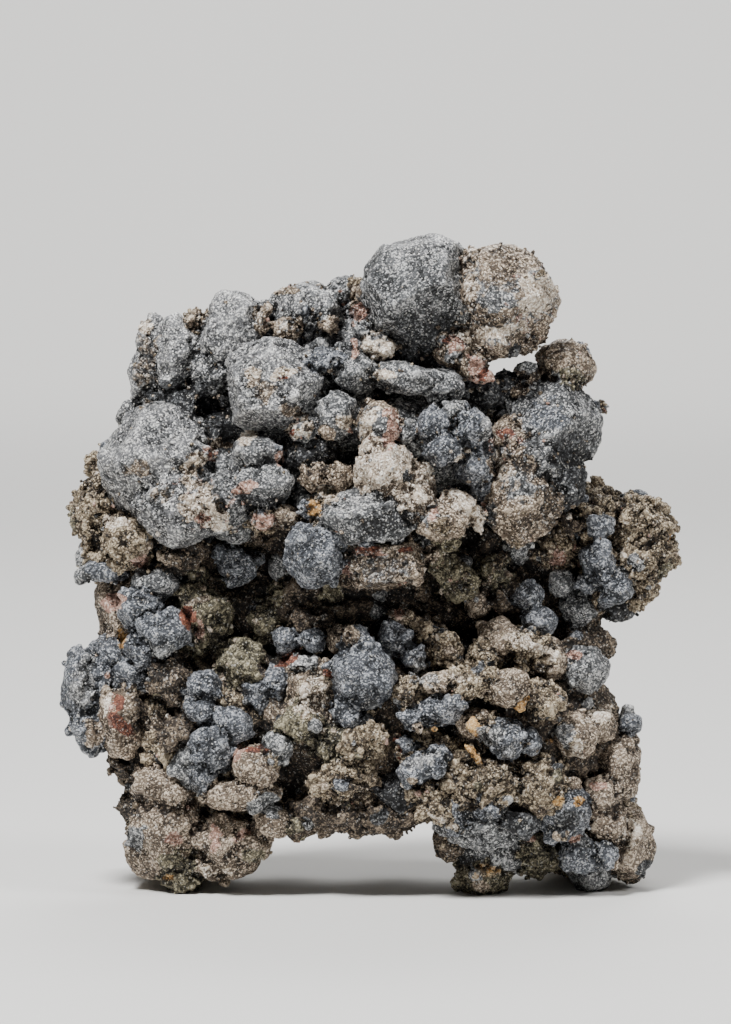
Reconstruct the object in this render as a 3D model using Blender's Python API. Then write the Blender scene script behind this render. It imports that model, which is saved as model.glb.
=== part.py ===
"""A cabinet specimen of acanthite: crystals heaped on granular rock, standing on its own feet.

Metres, +Z up. The front of the specimen faces -Y, and the origin is under the middle of its box.
The lumps that it grew from are listed in millimetres, as seen from the front: x to the right, z up.
"""
from math import radians
from typing import NamedTuple

import bmesh
import bpy
from mathutils import Euler, Matrix, Vector

# Driving dimensions, in metres
MM = 0.001
FOOT_PLANE = 0.0

# How the solids are fused, in metres
FUSE_GRAIN = 0.75 * MM
CUT_GRAIN = 0.6 * MM
CONTACT_GAP = 0.65 * MM
UNEVEN_SIZE = 3.2 * MM
UNEVEN_HEIGHT = 0.9 * MM

# Triangles that each kind of solid keeps
MATRIX_FACES = 4600
HEAP_FACES = 3000
CRYSTAL_FACES = 104

# How far from the centre the flat faces of a crystal lie, as a share of its half size
CUBE_FACE = 0.86
CORNER_FACE = 0.88


class Lump(NamedTuple):
    """A rounded body in millimetres: its centre, its half sizes, and its tilt in the front plane.

    A lump with a turn is a crystal: it is cut by cube and corner faces, turned by that many degrees.
    """

    x: float
    y: float
    z: float
    rx: float
    ry: float
    rz: float
    tilt: float = 0.0
    turn: float | None = None


# The intergrown crystals of the upper half
CROWN = [
    Lump(5.9, -5.0, 66.2, 6.7, 6.8, 6.9, 20, 12),
    Lump(14.4, -4.2, 65.2, 6.9, 6.5, 6.8, 0, 40),
    Lump(16.6, -4.0, 61.4, 3.2, 3.4, 2.2, 15),
    Lump(13.4, -4.6, 61.0, 2.8, 3.2, 1.8),
    Lump(11.0, -4.0, 70.2, 2.0, 3.0, 1.8),
    Lump(9.6, -6.5, 60.4, 2.6, 3.0, 2.6),
    Lump(11.2, -7.6, 58.6, 2.2, 2.2, 2.0, -35),
    Lump(12.2, -7.6, 57.3, 1.5, 1.6, 1.2),
    Lump(4.5, -2.5, 60.5, 4.0, 5.0, 3.4),
    Lump(-1.0, -2.5, 66.4, 1.3, 1.6, 1.3),
    Lump(-0.2, -4.0, 64.0, 1.6, 2.0, 1.7),
    Lump(1.2, -7.5, 60.4, 1.8, 1.8, 1.7),
    Lump(-0.5, -6.5, 62.2, 1.5, 1.6, 1.5),
]
TOP_RIDGE = [
    Lump(-6.6, -1.0, 63.7, 4.6, 4.4, 3.8, 0, 25),
    Lump(-12.0, -1.6, 62.9, 2.3, 2.6, 2.5),
    Lump(-9.0, -4.6, 62.2, 1.9, 1.8, 1.8),
    Lump(-4.3, -4.9, 62.6, 1.8, 1.8, 1.8),
    Lump(-3.0, -1.0, 66.1, 1.9, 2.4, 1.9),
    Lump(-15.2, -2.2, 61.0, 3.9, 4.4, 5.9, -16, 5),
    Lump(-17.0, -3.2, 57.2, 2.9, 3.2, 3.0),
    Lump(-21.4, -2.0, 59.4, 2.9, 3.4, 4.4, 0, 30),
    Lump(-19.3, 0.0, 62.7, 1.3, 1.8, 1.3),
    Lump(-24.1, 0.0, 58.8, 1.3, 2.6, 5.0),
    Lump(-25.3, -1.0, 56.8, 1.1, 2.0, 2.9),
    Lump(-26.6, -1.2, 52.4, 1.3, 1.8, 1.9),
    Lump(-23.6, 1.0, 54.5, 2.8, 4.0, 3.0),
]
LEFT_DOME = [
    Lump(-22.9, -3.2, 47.0, 6.7, 7.2, 6.7, 8, 20),
    Lump(-28.4, -0.5, 47.4, 1.7, 3.0, 2.8),
    Lump(-20.2, -9.6, 43.2, 5.0, 3.4, 4.1, 0, 15),
    Lump(-16.0, -10.2, 43.6, 3.4, 3.2, 3.6, 0, 35),
    Lump(-19.0, -8.4, 48.6, 2.2, 2.0, 1.4),
    Lump(-12.4, -10.8, 49.0, 2.8, 2.6, 1.8),
    Lump(-11.6, -11.2, 45.6, 3.5, 3.0, 2.7, 10, 50),
    Lump(-11.5, -10.8, 41.6, 1.8, 2.2, 1.5),
    Lump(-9.0, -10.8, 41.8, 1.7, 2.2, 1.5),
    Lump(-15.0, -7.0, 40.4, 2.6, 3.4, 1.8),
]
BLOCK = [
    Lump(-10.7, -8.0, 56.1, 5.1, 4.8, 4.8, -12, 28),
    Lump(-7.2, -10.8, 51.5, 1.8, 1.6, 1.6),
    Lump(-3.6, -10.8, 53.0, 2.3, 2.4, 2.9, 0, 18),
    Lump(-4.6, -8.0, 59.0, 3.0, 2.8, 1.5, 5, 0),
    Lump(-1.6, -8.0, 57.8, 2.8, 3.0, 2.6, 0, 33),
    Lump(4.4, -8.6, 56.9, 4.6, 3.2, 1.9, -10, 8),
    Lump(8.4, -8.8, 56.0, 2.1, 2.4, 2.0, 0, 40),
]
MIDDLE_CLUSTER = [
    Lump(7.0, -12.6, 52.1, 2.0, 2.0, 2.0, 0, 10),
    Lump(11.2, -11.8, 51.8, 2.3, 2.2, 2.2, 0, 35),
    Lump(8.0, -12.8, 49.7, 2.3, 2.2, 2.1, 0, 20),
    Lump(9.4, -11.0, 53.4, 1.8, 1.9, 1.6, 0, 5),
    Lump(11.5, -10.2, 47.4, 2.4, 2.4, 2.4, 0, 30),
    Lump(12.4, -8.8, 44.8, 2.1, 2.2, 2.2, 0, 15),
    Lump(1.0, -11.6, 52.0, 2.4, 2.6, 2.8),
    Lump(4.2, -10.8, 51.0, 1.7, 2.0, 1.7),
    Lump(-6.5, -8.6, 48.6, 3.2, 3.2, 3.2, 0, 22),
    Lump(-6.0, -10.8, 46.4, 1.9, 2.0, 1.8),
    Lump(-3.0, -11.6, 46.2, 1.8, 2.0, 1.8),
]
CREAM_CONE = [
    Lump(1.8, -12.4, 46.6, 3.5, 4.0, 3.9),
    Lump(0.9, -12.6, 49.2, 1.8, 2.0, 1.8),
    Lump(4.6, -12.8, 43.8, 3.2, 3.6, 2.6, -25),
    Lump(7.4, -13.2, 41.8, 3.4, 3.0, 2.4, -10),
    Lump(9.6, -11.8, 43.0, 2.3, 2.4, 2.1),
    Lump(11.4, -10.8, 42.0, 1.7, 2.0, 1.6),
    Lump(-0.2, -13.4, 42.0, 5.1, 4.2, 3.1, 5, 12),
    Lump(-5.4, -11.4, 42.4, 2.0, 2.2, 1.8),
]
BALL_AND_WEDGE = [
    Lump(-5.8, -12.2, 38.0, 4.0, 4.2, 3.7, 0, 38),
    Lump(1.4, -12.0, 36.9, 4.2, 4.0, 2.7, 5, 0),
    Lump(-1.4, -11.2, 37.6, 2.6, 3.4, 2.4),
    Lump(7.6, -8.2, 38.8, 1.9, 2.0, 2.4),
    Lump(8.8, -7.2, 36.0, 1.8, 1.9, 2.4, 15),
    Lump(10.0, -6.6, 33.8, 2.1, 1.9, 1.7),
]
RIGHT_LUMPS = [
    Lump(20.7, -4.8, 51.4, 5.3, 5.6, 4.8, 20, 16),
    Lump(16.5, -8.6, 43.6, 4.5, 4.8, 5.0, 0, 32),
    Lump(21.4, -5.0, 46.2, 2.6, 4.4, 3.4, 0, 44),
    Lump(16.0, -7.4, 50.4, 2.4, 3.2, 2.6),
    Lump(21.6, -2.2, 57.8, 3.3, 3.3, 3.1),
    Lump(23.2, -1.4, 59.2, 1.4, 1.8, 1.5),
    Lump(17.6, -2.8, 56.0, 2.2, 2.8, 2.2),
    Lump(15.0, -3.8, 55.4, 2.1, 2.6, 2.0),
    Lump(12.8, -5.4, 55.4, 1.8, 2.4, 1.8),
    Lump(25.0, -2.2, 53.2, 0.9, 1.2, 1.0),
]
HEAP_CORE = [
    Lump(-13.0, 1.6, 52.0, 12.5, 8.6, 8.4),
    Lump(3.0, 1.0, 50.6, 14.0, 8.6, 7.4),
    Lump(-3.0, 1.2, 59.0, 10.5, 6.0, 5.2),
    Lump(4.6, 0.6, 62.6, 4.6, 5.0, 5.0),
    Lump(-3.0, -4.4, 44.0, 12.0, 7.0, 5.0),
    Lump(15.0, 0.0, 47.0, 7.4, 7.4, 6.6),
    Lump(-15.0, -1.8, 46.0, 8.0, 7.0, 5.4),
    Lump(-5.0, -6.0, 52.6, 8.0, 4.6, 5.4),
    Lump(6.0, -6.4, 50.0, 6.0, 5.0, 6.0),
]
HEAP_BACK = [
    Lump(-20.4, 5.8, 52.8, 5.2, 4.8, 5.0, 0, 24),
    Lump(-12.0, 8.2, 57.4, 5.0, 4.6, 4.6, 0, 10),
    Lump(-3.4, 7.4, 61.4, 4.6, 4.0, 3.8, 0, 34),
    Lump(4.4, 6.2, 65.2, 3.6, 4.0, 3.8, 0, 16),
    Lump(4.8, 8.6, 56.8, 4.8, 4.4, 4.2, 0, 42),
    Lump(12.6, 6.2, 51.8, 4.6, 4.8, 4.0, 0, 6),
    Lump(19.6, 3.8, 50.2, 4.0, 4.6, 4.4, 0, 28),
    Lump(20.6, 3.0, 55.6, 2.8, 2.8, 2.4),
]

# The granular rock
MATRIX_CORE = [
    Lump(0.0, 0.2, 18.0, 23.5, 12.2, 10.8),
    Lump(-3.0, 3.6, 33.0, 23.0, 9.4, 12.0),
    Lump(-2.0, 6.6, 47.0, 19.0, 6.0, 11.0),
    Lump(14.0, -0.6, 17.0, 14.0, 12.0, 10.5),
    Lump(-16.0, -0.2, 17.0, 11.5, 10.8, 11.0),
    Lump(16.0, 3.6, 35.0, 10.0, 7.6, 8.0),
]
LEFT_FOOT = [
    Lump(-22.3, -3.6, 6.6, 5.0, 7.4, 6.4),
    Lump(-25.1, -2.6, 8.8, 2.8, 5.6, 2.7),
    Lump(-25.2, -3.0, 5.8, 2.0, 4.4, 2.4),
    Lump(-22.6, -6.6, 11.6, 3.8, 4.8, 2.8),
    Lump(-15.2, -7.4, 5.6, 4.1, 4.6, 4.2),
    Lump(-13.4, -9.6, 5.6, 2.7, 2.8, 2.3),
    Lump(-17.2, -7.0, 3.2, 2.6, 3.4, 2.0),
    Lump(-21.0, -5.2, 2.0, 2.8, 4.6, 2.6),
    Lump(-20.4, 7.4, 6.2, 6.0, 7.0, 6.7),
    Lump(-25.6, -1.2, 14.2, 3.3, 5.6, 3.2),
    Lump(-10.4, -10.0, 8.4, 2.4, 3.0, 2.2),
    Lump(-8.0, -8.6, 8.4, 2.4, 3.4, 1.9),
]
LEFT_WALL = [
    Lump(-27.4, -5.0, 19.2, 3.4, 4.4, 4.6),
    Lump(-28.6, -1.6, 26.2, 2.2, 4.4, 2.6),
    Lump(-26.2, -5.2, 23.9, 2.6, 3.2, 2.2),
    Lump(-22.0, -7.6, 24.0, 2.8, 3.0, 2.6),
    Lump(-27.4, 0.0, 31.0, 3.1, 5.4, 5.0),
    Lump(-28.5, -0.4, 37.0, 3.1, 5.0, 3.2),
    Lump(-29.7, -0.6, 41.4, 3.1, 4.8, 3.8),
    Lump(-28.4, 0.4, 45.0, 2.8, 5.0, 3.4),
    Lump(-26.6, -4.6, 39.0, 3.0, 3.6, 3.2),
    Lump(-23.4, -4.6, 34.2, 3.2, 3.6, 1.8),
    Lump(-20.6, -5.2, 37.4, 2.4, 3.0, 2.2),
    Lump(-18.2, -4.8, 31.0, 3.0, 3.8, 4.6),
    Lump(-14.2, -6.6, 24.8, 3.0, 3.6, 3.4),
    Lump(-22.0, -1.0, 41.0, 6.0, 5.0, 4.0),
]
LEFT_CLUSTER_BED = [
    Lump(-20.4, -8.2, 18.2, 2.6, 3.4, 2.6),
    Lump(-12.4, -12.2, 14.2, 2.5, 2.6, 2.5),
    Lump(-14.0, -10.0, 11.4, 4.6, 4.4, 1.9),
    Lump(-19.0, -8.6, 14.6, 3.2, 3.6, 3.2),
    Lump(-10.0, -12.2, 16.8, 1.8, 2.0, 1.8),
]
CENTRE = [
    Lump(-6.0, -9.4, 23.0, 3.4, 3.6, 3.4),
    Lump(-6.8, -11.4, 19.4, 2.8, 2.8, 2.8),
    Lump(-4.6, -11.8, 17.2, 2.2, 2.6, 2.2),
    Lump(-7.0, -10.0, 25.6, 2.2, 2.2, 1.3),
    Lump(-11.3, -4.2, 29.8, 1.7, 2.4, 2.6, 20),
    Lump(-9.8, -3.2, 32.4, 1.5, 2.2, 1.8),
    Lump(-3.2, -9.2, 28.4, 1.8, 2.2, 1.6),
    Lump(-6.4, -6.6, 29.8, 2.4, 2.4, 1.8),
    Lump(3.4, -7.0, 30.2, 1.6, 2.0, 2.0),
    Lump(6.0, -7.2, 28.8, 2.2, 2.4, 1.8, -20),
    Lump(8.2, -8.2, 26.8, 2.0, 2.6, 1.9),
    Lump(-1.0, -13.0, 17.4, 2.5, 2.6, 2.3),
    Lump(-2.6, -12.4, 13.4, 3.2, 3.0, 2.6),
    Lump(-1.0, -8.6, 9.4, 8.2, 5.2, 2.5),
    Lump(3.2, -11.6, 11.6, 3.0, 2.6, 2.4),
]
RIGHT_ARM = [
    Lump(25.0, 0.4, 41.0, 3.4, 5.0, 3.3),
    Lump(29.4, 0.6, 39.6, 4.3, 5.0, 4.0),
    Lump(31.2, 0.4, 37.2, 2.9, 4.2, 3.2),
    Lump(27.6, -0.4, 34.4, 4.0, 4.8, 4.2),
    Lump(27.4, 0.2, 31.8, 2.6, 4.0, 2.6),
    Lump(23.4, -1.2, 27.0, 3.0, 4.6, 4.0),
    Lump(23.2, -2.8, 31.0, 2.2, 2.8, 2.8),
    Lump(23.0, -2.8, 40.6, 2.0, 2.4, 1.6),
    Lump(20.6, -0.6, 37.4, 2.6, 3.4, 2.6),
    Lump(29.6, -2.6, 36.6, 2.6, 3.0, 2.6),
    Lump(23.6, 5.6, 35.6, 5.0, 4.6, 5.0),
]
LEDGES = [
    Lump(5.4, -12.4, 23.0, 2.3, 3.2, 1.8, 20),
    Lump(9.0, -13.4, 24.0, 2.7, 3.2, 1.7),
    Lump(13.0, -13.8, 24.0, 2.7, 3.2, 1.7),
    Lump(16.6, -13.4, 23.2, 2.6, 3.2, 1.8, -20),
    Lump(19.2, -12.4, 21.6, 1.9, 3.0, 2.0),
    Lump(14.4, -7.8, 28.0, 2.5, 3.2, 2.7),
    Lump(17.4, -7.8, 26.8, 2.9, 3.4, 2.4),
    Lump(12.6, -9.0, 26.0, 2.1, 2.6, 1.8),
    Lump(20.2, -7.2, 25.8, 2.2, 3.0, 2.4),
    Lump(8.6, -11.0, 15.0, 5.6, 4.0, 3.8),
    Lump(8.0, -12.8, 11.8, 4.2, 3.6, 3.0),
    Lump(13.2, -13.2, 13.0, 4.2, 3.7, 2.9),
    Lump(18.2, -12.6, 12.8, 3.4, 3.6, 3.2),
    Lump(12.4, -10.6, 8.4, 5.4, 4.6, 3.2),
    Lump(22.4, -9.8, 17.6, 2.7, 3.2, 2.6),
    Lump(25.2, -6.4, 18.4, 2.5, 3.2, 1.9),
    Lump(12.0, -12.4, 19.2, 4.0, 2.6, 2.2),
]
RIGHT_FOOT = [
    Lump(27.4, -3.0, 13.4, 3.0, 6.2, 4.3),
    Lump(27.6, -2.2, 16.2, 2.4, 4.2, 2.0),
    Lump(25.4, -8.6, 10.8, 2.2, 2.8, 2.4),
    Lump(25.8, -7.2, 7.8, 3.0, 3.6, 2.8),
    Lump(28.7, -3.2, 5.0, 3.1, 5.6, 4.1),
    Lump(24.6, -3.8, 2.0, 2.5, 4.8, 2.7),
    Lump(24.0, 6.8, 7.0, 6.0, 7.0, 7.6),
    Lump(25.4, 5.0, 13.0, 4.0, 6.4, 5.0),
    Lump(12.6, -6.6, 2.2, 2.8, 4.4, 2.9),
    Lump(13.8, -6.4, 4.6, 4.4, 4.6, 3.0),
    Lump(9.2, -7.8, 5.8, 2.2, 3.4, 2.2),
    Lump(18.4, -5.8, 4.8, 3.8, 4.6, 2.8),
]
BACK = [
    Lump(-19.6, 9.4, 11.0, 6.4, 4.6, 5.0, 12),
    Lump(-23.0, 7.8, 17.8, 3.6, 4.0, 3.4),
    Lump(-9.2, 10.8, 13.0, 4.8, 4.4, 4.2, -20),
    Lump(-4.8, 11.8, 19.2, 5.6, 3.6, 3.2, 25),
    Lump(3.6, 11.0, 13.2, 5.0, 4.2, 3.8, 10),
    Lump(9.8, 11.8, 18.0, 3.8, 3.8, 5.2, -30),
    Lump(17.4, 9.8, 12.2, 6.0, 4.4, 4.4, -15),
    Lump(21.2, 8.2, 18.2, 3.4, 4.0, 3.0),
    Lump(-24.6, 5.4, 24.0, 4.4, 4.8, 4.2, 20),
    Lump(-17.8, 10.2, 27.4, 3.8, 3.8, 5.6, 25),
    Lump(-9.8, 12.0, 27.4, 4.4, 3.6, 3.2, -10),
    Lump(-2.2, 12.4, 26.2, 3.2, 3.4, 5.2, 15),
    Lump(4.6, 12.0, 23.6, 4.0, 3.2, 2.6, -12),
    Lump(4.2, 12.2, 30.0, 4.4, 3.4, 2.6, -18),
    Lump(13.8, 10.4, 25.4, 4.6, 4.2, 5.0, 30),
    Lump(19.8, 7.0, 26.0, 3.8, 4.6, 3.6),
    Lump(18.2, 8.0, 33.0, 4.2, 4.4, 3.2, 20),
    Lump(-24.8, 5.0, 33.4, 3.8, 4.6, 4.2),
    Lump(-22.8, 5.8, 40.2, 4.6, 4.8, 4.4, -25),
    Lump(-15.4, 10.4, 35.6, 5.6, 4.2, 3.0, 15),
    Lump(-7.6, 12.2, 35.8, 3.6, 3.6, 4.6, -20),
    Lump(0.6, 12.8, 38.4, 4.6, 3.6, 3.6, 10),
    Lump(7.6, 11.4, 41.8, 4.4, 3.8, 3.0, -35),
    Lump(14.8, 8.8, 40.0, 5.4, 4.4, 4.2, 12),
    Lump(-13.4, 10.6, 43.4, 4.4, 4.2, 4.6, 25),
    Lump(-20.0, 7.8, 47.0, 4.8, 4.4, 3.2, 10),
    Lump(-5.4, 11.6, 44.6, 4.2, 3.6, 3.2, -10),
    Lump(-7.6, 11.2, 51.4, 4.4, 3.6, 3.0, 18),
    Lump(2.8, 11.2, 48.8, 5.2, 3.8, 3.4, -15),
    Lump(10.4, 9.4, 47.6, 3.6, 4.2, 3.8),
]

# Crystals that sit apart in the rock, each list one piece
APART = {
    "acanthite_knob_left": [
        Lump(-31.0, -2.0, 21.0, 3.2, 4.6, 5.8, 0, 15),
        Lump(-30.6, -4.6, 18.6, 2.4, 2.6, 2.8),
    ],
    "acanthite_lumps_left": [
        Lump(-25.2, -6.4, 31.2, 2.7, 2.8, 2.5, 0, 20),
        Lump(-22.6, -8.2, 29.0, 3.2, 2.8, 2.5, 0, 40),
        Lump(-24.6, -7.0, 27.2, 2.6, 2.6, 1.9),
    ],
    "acanthite_bar_left": [
        Lump(-29.0, -4.2, 35.3, 2.9, 1.8, 1.3, 0, 0),
    ],
    "acanthite_crystal_cavity": [
        Lump(-14.5, -4.4, 36.0, 2.5, 2.6, 2.4, 0, 30),
    ],
    "acanthite_cluster_left": [
        Lump(-18.2, -10.0, 23.0, 2.1, 2.3, 2.1, 0, 10),
        Lump(-18.6, -10.4, 20.8, 1.9, 2.2, 1.8, 0, 25),
        Lump(-15.2, -11.2, 19.0, 2.4, 2.3, 2.1, 0, 38),
        Lump(-17.2, -11.6, 16.6, 2.7, 2.4, 2.5, 0, 5),
        Lump(-18.3, -11.0, 13.6, 1.9, 2.2, 2.4, 10, 20),
    ],
    "acanthite_pair_olive": [
        Lump(-10.2, -8.6, 23.1, 2.2, 2.3, 2.1, 0, 33),
        Lump(-12.2, -9.2, 22.4, 1.9, 2.1, 1.7, 0, 12),
    ],
    "acanthite_pair_centre": [
        Lump(-9.0, -7.8, 28.0, 1.7, 1.9, 1.6, 0, 27),
        Lump(-6.2, -9.4, 28.2, 1.6, 1.9, 1.5, 0, 8),
    ],
    "acanthite_kidney": [
        Lump(-0.9, -12.2, 24.4, 3.7, 3.6, 3.7, 0, 18),
        Lump(-2.6, -12.8, 20.9, 2.0, 2.2, 2.2),
        Lump(-1.6, -10.8, 28.0, 1.8, 2.2, 1.9),
    ],
    "acanthite_pair_right": [
        Lump(2.9, -8.8, 28.3, 2.1, 2.2, 1.9, 0, 36),
        Lump(4.8, -9.2, 26.5, 1.6, 1.8, 1.6),
    ],
    "acanthite_plate": [
        Lump(7.9, -14.0, 21.0, 2.7, 2.0, 2.0, 15, 10),
        Lump(5.0, -14.2, 20.2, 1.8, 1.8, 1.8, 0, 30),
    ],
    "acanthite_crescent": [
        Lump(5.8, -14.8, 14.8, 3.2, 2.2, 1.9, 20, 0),
        Lump(7.6, -14.6, 16.0, 1.6, 1.8, 1.5),
    ],
    "acanthite_ring_lump": [
        Lump(14.9, -14.4, 17.8, 2.6, 2.2, 2.4, 0, 22),
        Lump(17.6, -13.6, 17.4, 1.7, 2.0, 1.7),
    ],
    "acanthite_black_lump": [
        Lump(16.3, -13.6, 8.7, 2.6, 2.2, 1.5, -15, 14),
    ],
    "acanthite_dome_low": [
        Lump(21.4, -11.6, 9.6, 3.0, 3.0, 3.4, 0, 26),
    ],
    "acanthite_foot_right": [
        Lump(23.0, -9.6, 4.4, 2.7, 2.6, 2.3, 0, 9),
        Lump(26.0, -9.8, 4.6, 1.6, 2.0, 1.8),
    ],
    "acanthite_arm_lumps": [
        Lump(25.3, -5.0, 36.5, 2.3, 2.2, 2.2, 0, 31),
        Lump(27.4, -5.2, 33.7, 2.0, 2.0, 2.0, 0, 7),
        Lump(24.2, -4.6, 34.2, 1.5, 1.8, 1.4),
    ],
    "acanthite_arm_top": [
        Lump(25.6, -4.8, 40.3, 1.7, 1.9, 1.6, 0, 17),
    ],
    "acanthite_granular": [
        Lump(23.3, -6.4, 24.6, 3.0, 3.2, 2.9, 0, 41),
    ],
    "acanthite_edge": [
        Lump(28.7, -3.4, 18.2, 1.6, 2.4, 1.5, 0, 19),
    ],
    "acanthite_back_left": [
        Lump(-14.0, 13.4, 20.6, 3.6, 3.2, 3.2, 10, 21),
        Lump(-17.6, 12.2, 18.6, 2.6, 2.6, 2.2, 0, 43),
    ],
    "acanthite_back_right": [
        Lump(8.8, 14.2, 35.2, 3.6, 3.2, 3.2, -12, 11),
        Lump(12.2, 13.0, 33.0, 2.6, 2.4, 2.4, 0, 37),
    ],
}

# Hollows, as the rounded spaces that are empty
MATRIX_HOLLOWS = [
    Lump(-13.6, -9.0, 35.4, 5.0, 8.2, 5.2),
    Lump(-2.0, -10.0, 32.4, 9.0, 5.6, 2.2),
    Lump(9.6, -9.0, 34.6, 5.4, 9.4, 5.6),
    Lump(17.4, -8.0, 34.4, 4.2, 7.0, 4.0),
    Lump(11.0, -13.0, 26.2, 1.5, 3.2, 1.0),
    Lump(-24.2, -11.4, 19.3, 2.2, 4.6, 2.5),
    Lump(18.4, -15.4, 19.4, 1.4, 2.8, 1.1),
    Lump(-0.5, 0.0, 1.0, 9.4, 40.0, 4.6),
    Lump(-12.6, 16.0, 31.2, 3.4, 4.0, 1.6, 12),
    Lump(-2.6, 16.2, 32.2, 1.8, 3.6, 1.4),
    Lump(9.2, 15.6, 28.6, 2.4, 3.6, 1.3, -20),
    Lump(-1.0, 15.4, 15.6, 1.4, 3.6, 2.2, 15),
    Lump(-1.2, 16.0, 49.0, 1.5, 3.4, 2.4),
]
HEAP_HOLLOWS = [
    Lump(-17.6, -9.4, 53.4, 2.4, 7.0, 2.0),
    Lump(-16.0, -14.0, 43.2, 1.0, 2.4, 1.0),
    Lump(7.0, -13.4, 45.8, 2.2, 3.4, 1.0, -30),
    Lump(15.0, 0.0, 57.9, 1.7, 12.0, 0.8),
]

# Finishes: colour as the eye sees it, roughness, metallic
FINISHES = {
    "granular rock": ((0.56, 0.50, 0.41), 0.92, 0.0),
    "acanthite": ((0.40, 0.41, 0.43), 0.62, 0.35),
    "blue-grey acanthite": ((0.38, 0.42, 0.48), 0.6, 0.35),
}


def clear_scene() -> None:
    """Removes every object, so that the specimen stands alone."""
    for item in list(bpy.data.objects):
        bpy.data.objects.remove(item, do_unlink=True)


def linear(value: float) -> float:
    """Turns one sRGB channel into its linear value."""
    if value <= 0.04045:
        return value / 12.92
    return ((value + 0.055) / 1.055) ** 2.4


def finish(name: str) -> bpy.types.Material:
    """Makes or finds the material of one finish."""
    found = bpy.data.materials.get(name)
    if found:
        return found
    colour, roughness, metallic = FINISHES[name]
    made = bpy.data.materials.new(name)
    made.use_nodes = True
    shader = made.node_tree.nodes["Principled BSDF"]
    shader.inputs["Base Color"].default_value = (*(linear(channel) for channel in colour), 1.0)
    shader.inputs["Roughness"].default_value = roughness
    shader.inputs["Metallic"].default_value = metallic
    made.diffuse_color = (*colour, 1.0)
    return made


def face_normals(turn: float) -> list[tuple[Vector, float]]:
    """The directions and distances of a crystal's flat faces: a cube's six and its eight corners'."""
    spin = Euler((radians(turn), radians(turn * 0.6), radians(turn * 1.4))).to_matrix()
    faces = []
    for axis in range(3):
        for side in (-1.0, 1.0):
            normal = Vector((0.0, 0.0, 0.0))
            normal[axis] = side
            faces.append((spin @ normal, CUBE_FACE))
    for corner_x in (-1.0, 1.0):
        for corner_y in (-1.0, 1.0):
            for corner_z in (-1.0, 1.0):
                faces.append((spin @ Vector((corner_x, corner_y, corner_z)).normalized(), CORNER_FACE))
    return faces


def add_lump(target: bpy.types.Mesh, lump: Lump) -> None:
    """Adds one closed lump to a mesh, cut flat first where it is a crystal."""
    shape = bmesh.new()
    bmesh.ops.create_icosphere(shape, subdivisions=3, radius=1.0)
    if lump.turn is not None:
        for normal, distance in face_normals(lump.turn):
            everything = shape.verts[:] + shape.edges[:] + shape.faces[:]
            bmesh.ops.bisect_plane(
                shape, geom=everything, plane_co=normal * distance, plane_no=normal, clear_outer=True
            )
            rim = [edge for edge in shape.edges if edge.is_boundary]
            bmesh.ops.contextual_create(shape, geom=rim)
    half_sizes = Matrix.Diagonal((lump.rx * MM, lump.ry * MM, lump.rz * MM, 1.0))
    lean = Matrix.Rotation(radians(-lump.tilt), 4, "Y")
    place = Matrix.Translation((lump.x * MM, lump.y * MM, lump.z * MM))
    bmesh.ops.transform(shape, matrix=place @ lean @ half_sizes, verts=shape.verts)
    bmesh.ops.triangulate(shape, faces=shape.faces)
    shape.from_mesh(target)
    shape.to_mesh(target)
    shape.free()


def lump_object(name: str, lumps: list[Lump]) -> bpy.types.Object:
    """Makes one object of overlapping lumps."""
    mesh = bpy.data.meshes.new(name)
    for lump in lumps:
        add_lump(mesh, lump)
    made = bpy.data.objects.new(name, mesh)
    bpy.context.scene.collection.objects.link(made)
    return made


def settle(item: bpy.types.Object) -> None:
    """Writes the shape that an object's modifiers give into its mesh, and removes the modifiers."""
    bpy.context.view_layer.update()
    evaluated = item.evaluated_get(bpy.context.evaluated_depsgraph_get())
    shaped = bpy.data.meshes.new_from_object(evaluated)
    item.modifiers.clear()
    item.data = shaped


def fuse(item: bpy.types.Object, grain: float) -> None:
    """Fuses overlapping lumps into one skin."""
    remesh = item.modifiers.new("fuse", "REMESH")
    remesh.mode = "VOXEL"
    remesh.voxel_size = grain
    settle(item)
    keep_largest(item)


def roughen(item: bpy.types.Object) -> None:
    """Gives a skin the uneven, sintered form that the lumps have in nature."""
    texture = bpy.data.textures.get("unevenness") or bpy.data.textures.new("unevenness", "CLOUDS")
    texture.noise_scale = UNEVEN_SIZE
    texture.noise_depth = 2
    push = item.modifiers.new("unevenness", "DISPLACE")
    push.texture = texture
    push.texture_coords = "LOCAL"
    push.strength = UNEVEN_HEIGHT
    push.mid_level = 0.5
    settle(item)
    fuse(item, CUT_GRAIN)


def thin_out(item: bpy.types.Object, faces: int) -> None:
    """Reduces a skin to about the number of triangles given."""
    item.data.calc_loop_triangles()
    count = len(item.data.loop_triangles)
    if count <= faces:
        return
    decimate = item.modifiers.new("thin out", "DECIMATE")
    decimate.ratio = faces / count
    decimate.use_collapse_triangulate = True
    settle(item)


def keep_largest(item: bpy.types.Object) -> None:
    """Keeps the largest connected skin, and deletes sealed bubbles and stray grains."""
    shape = bmesh.new()
    shape.from_mesh(item.data)
    unseen = set(shape.verts)
    islands = []
    while unseen:
        start = unseen.pop()
        island = [start]
        front = [start]
        while front:
            for edge in front.pop().link_edges:
                for vert in edge.verts:
                    if vert in unseen:
                        unseen.remove(vert)
                        island.append(vert)
                        front.append(vert)
        islands.append(island)
    islands.sort(key=len)
    strays = [vert for island in islands[:-1] for vert in island]
    bmesh.ops.delete(shape, geom=strays, context="VERTS")
    shape.to_mesh(item.data)
    shape.free()


def carve(item: bpy.types.Object, cutter: bpy.types.Object) -> None:
    """Cuts one closed object out of another."""
    cut = item.modifiers.new("carve", "BOOLEAN")
    cut.operation = "DIFFERENCE"
    cut.solver = "EXACT"
    cut.object = cutter
    settle(item)


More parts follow.
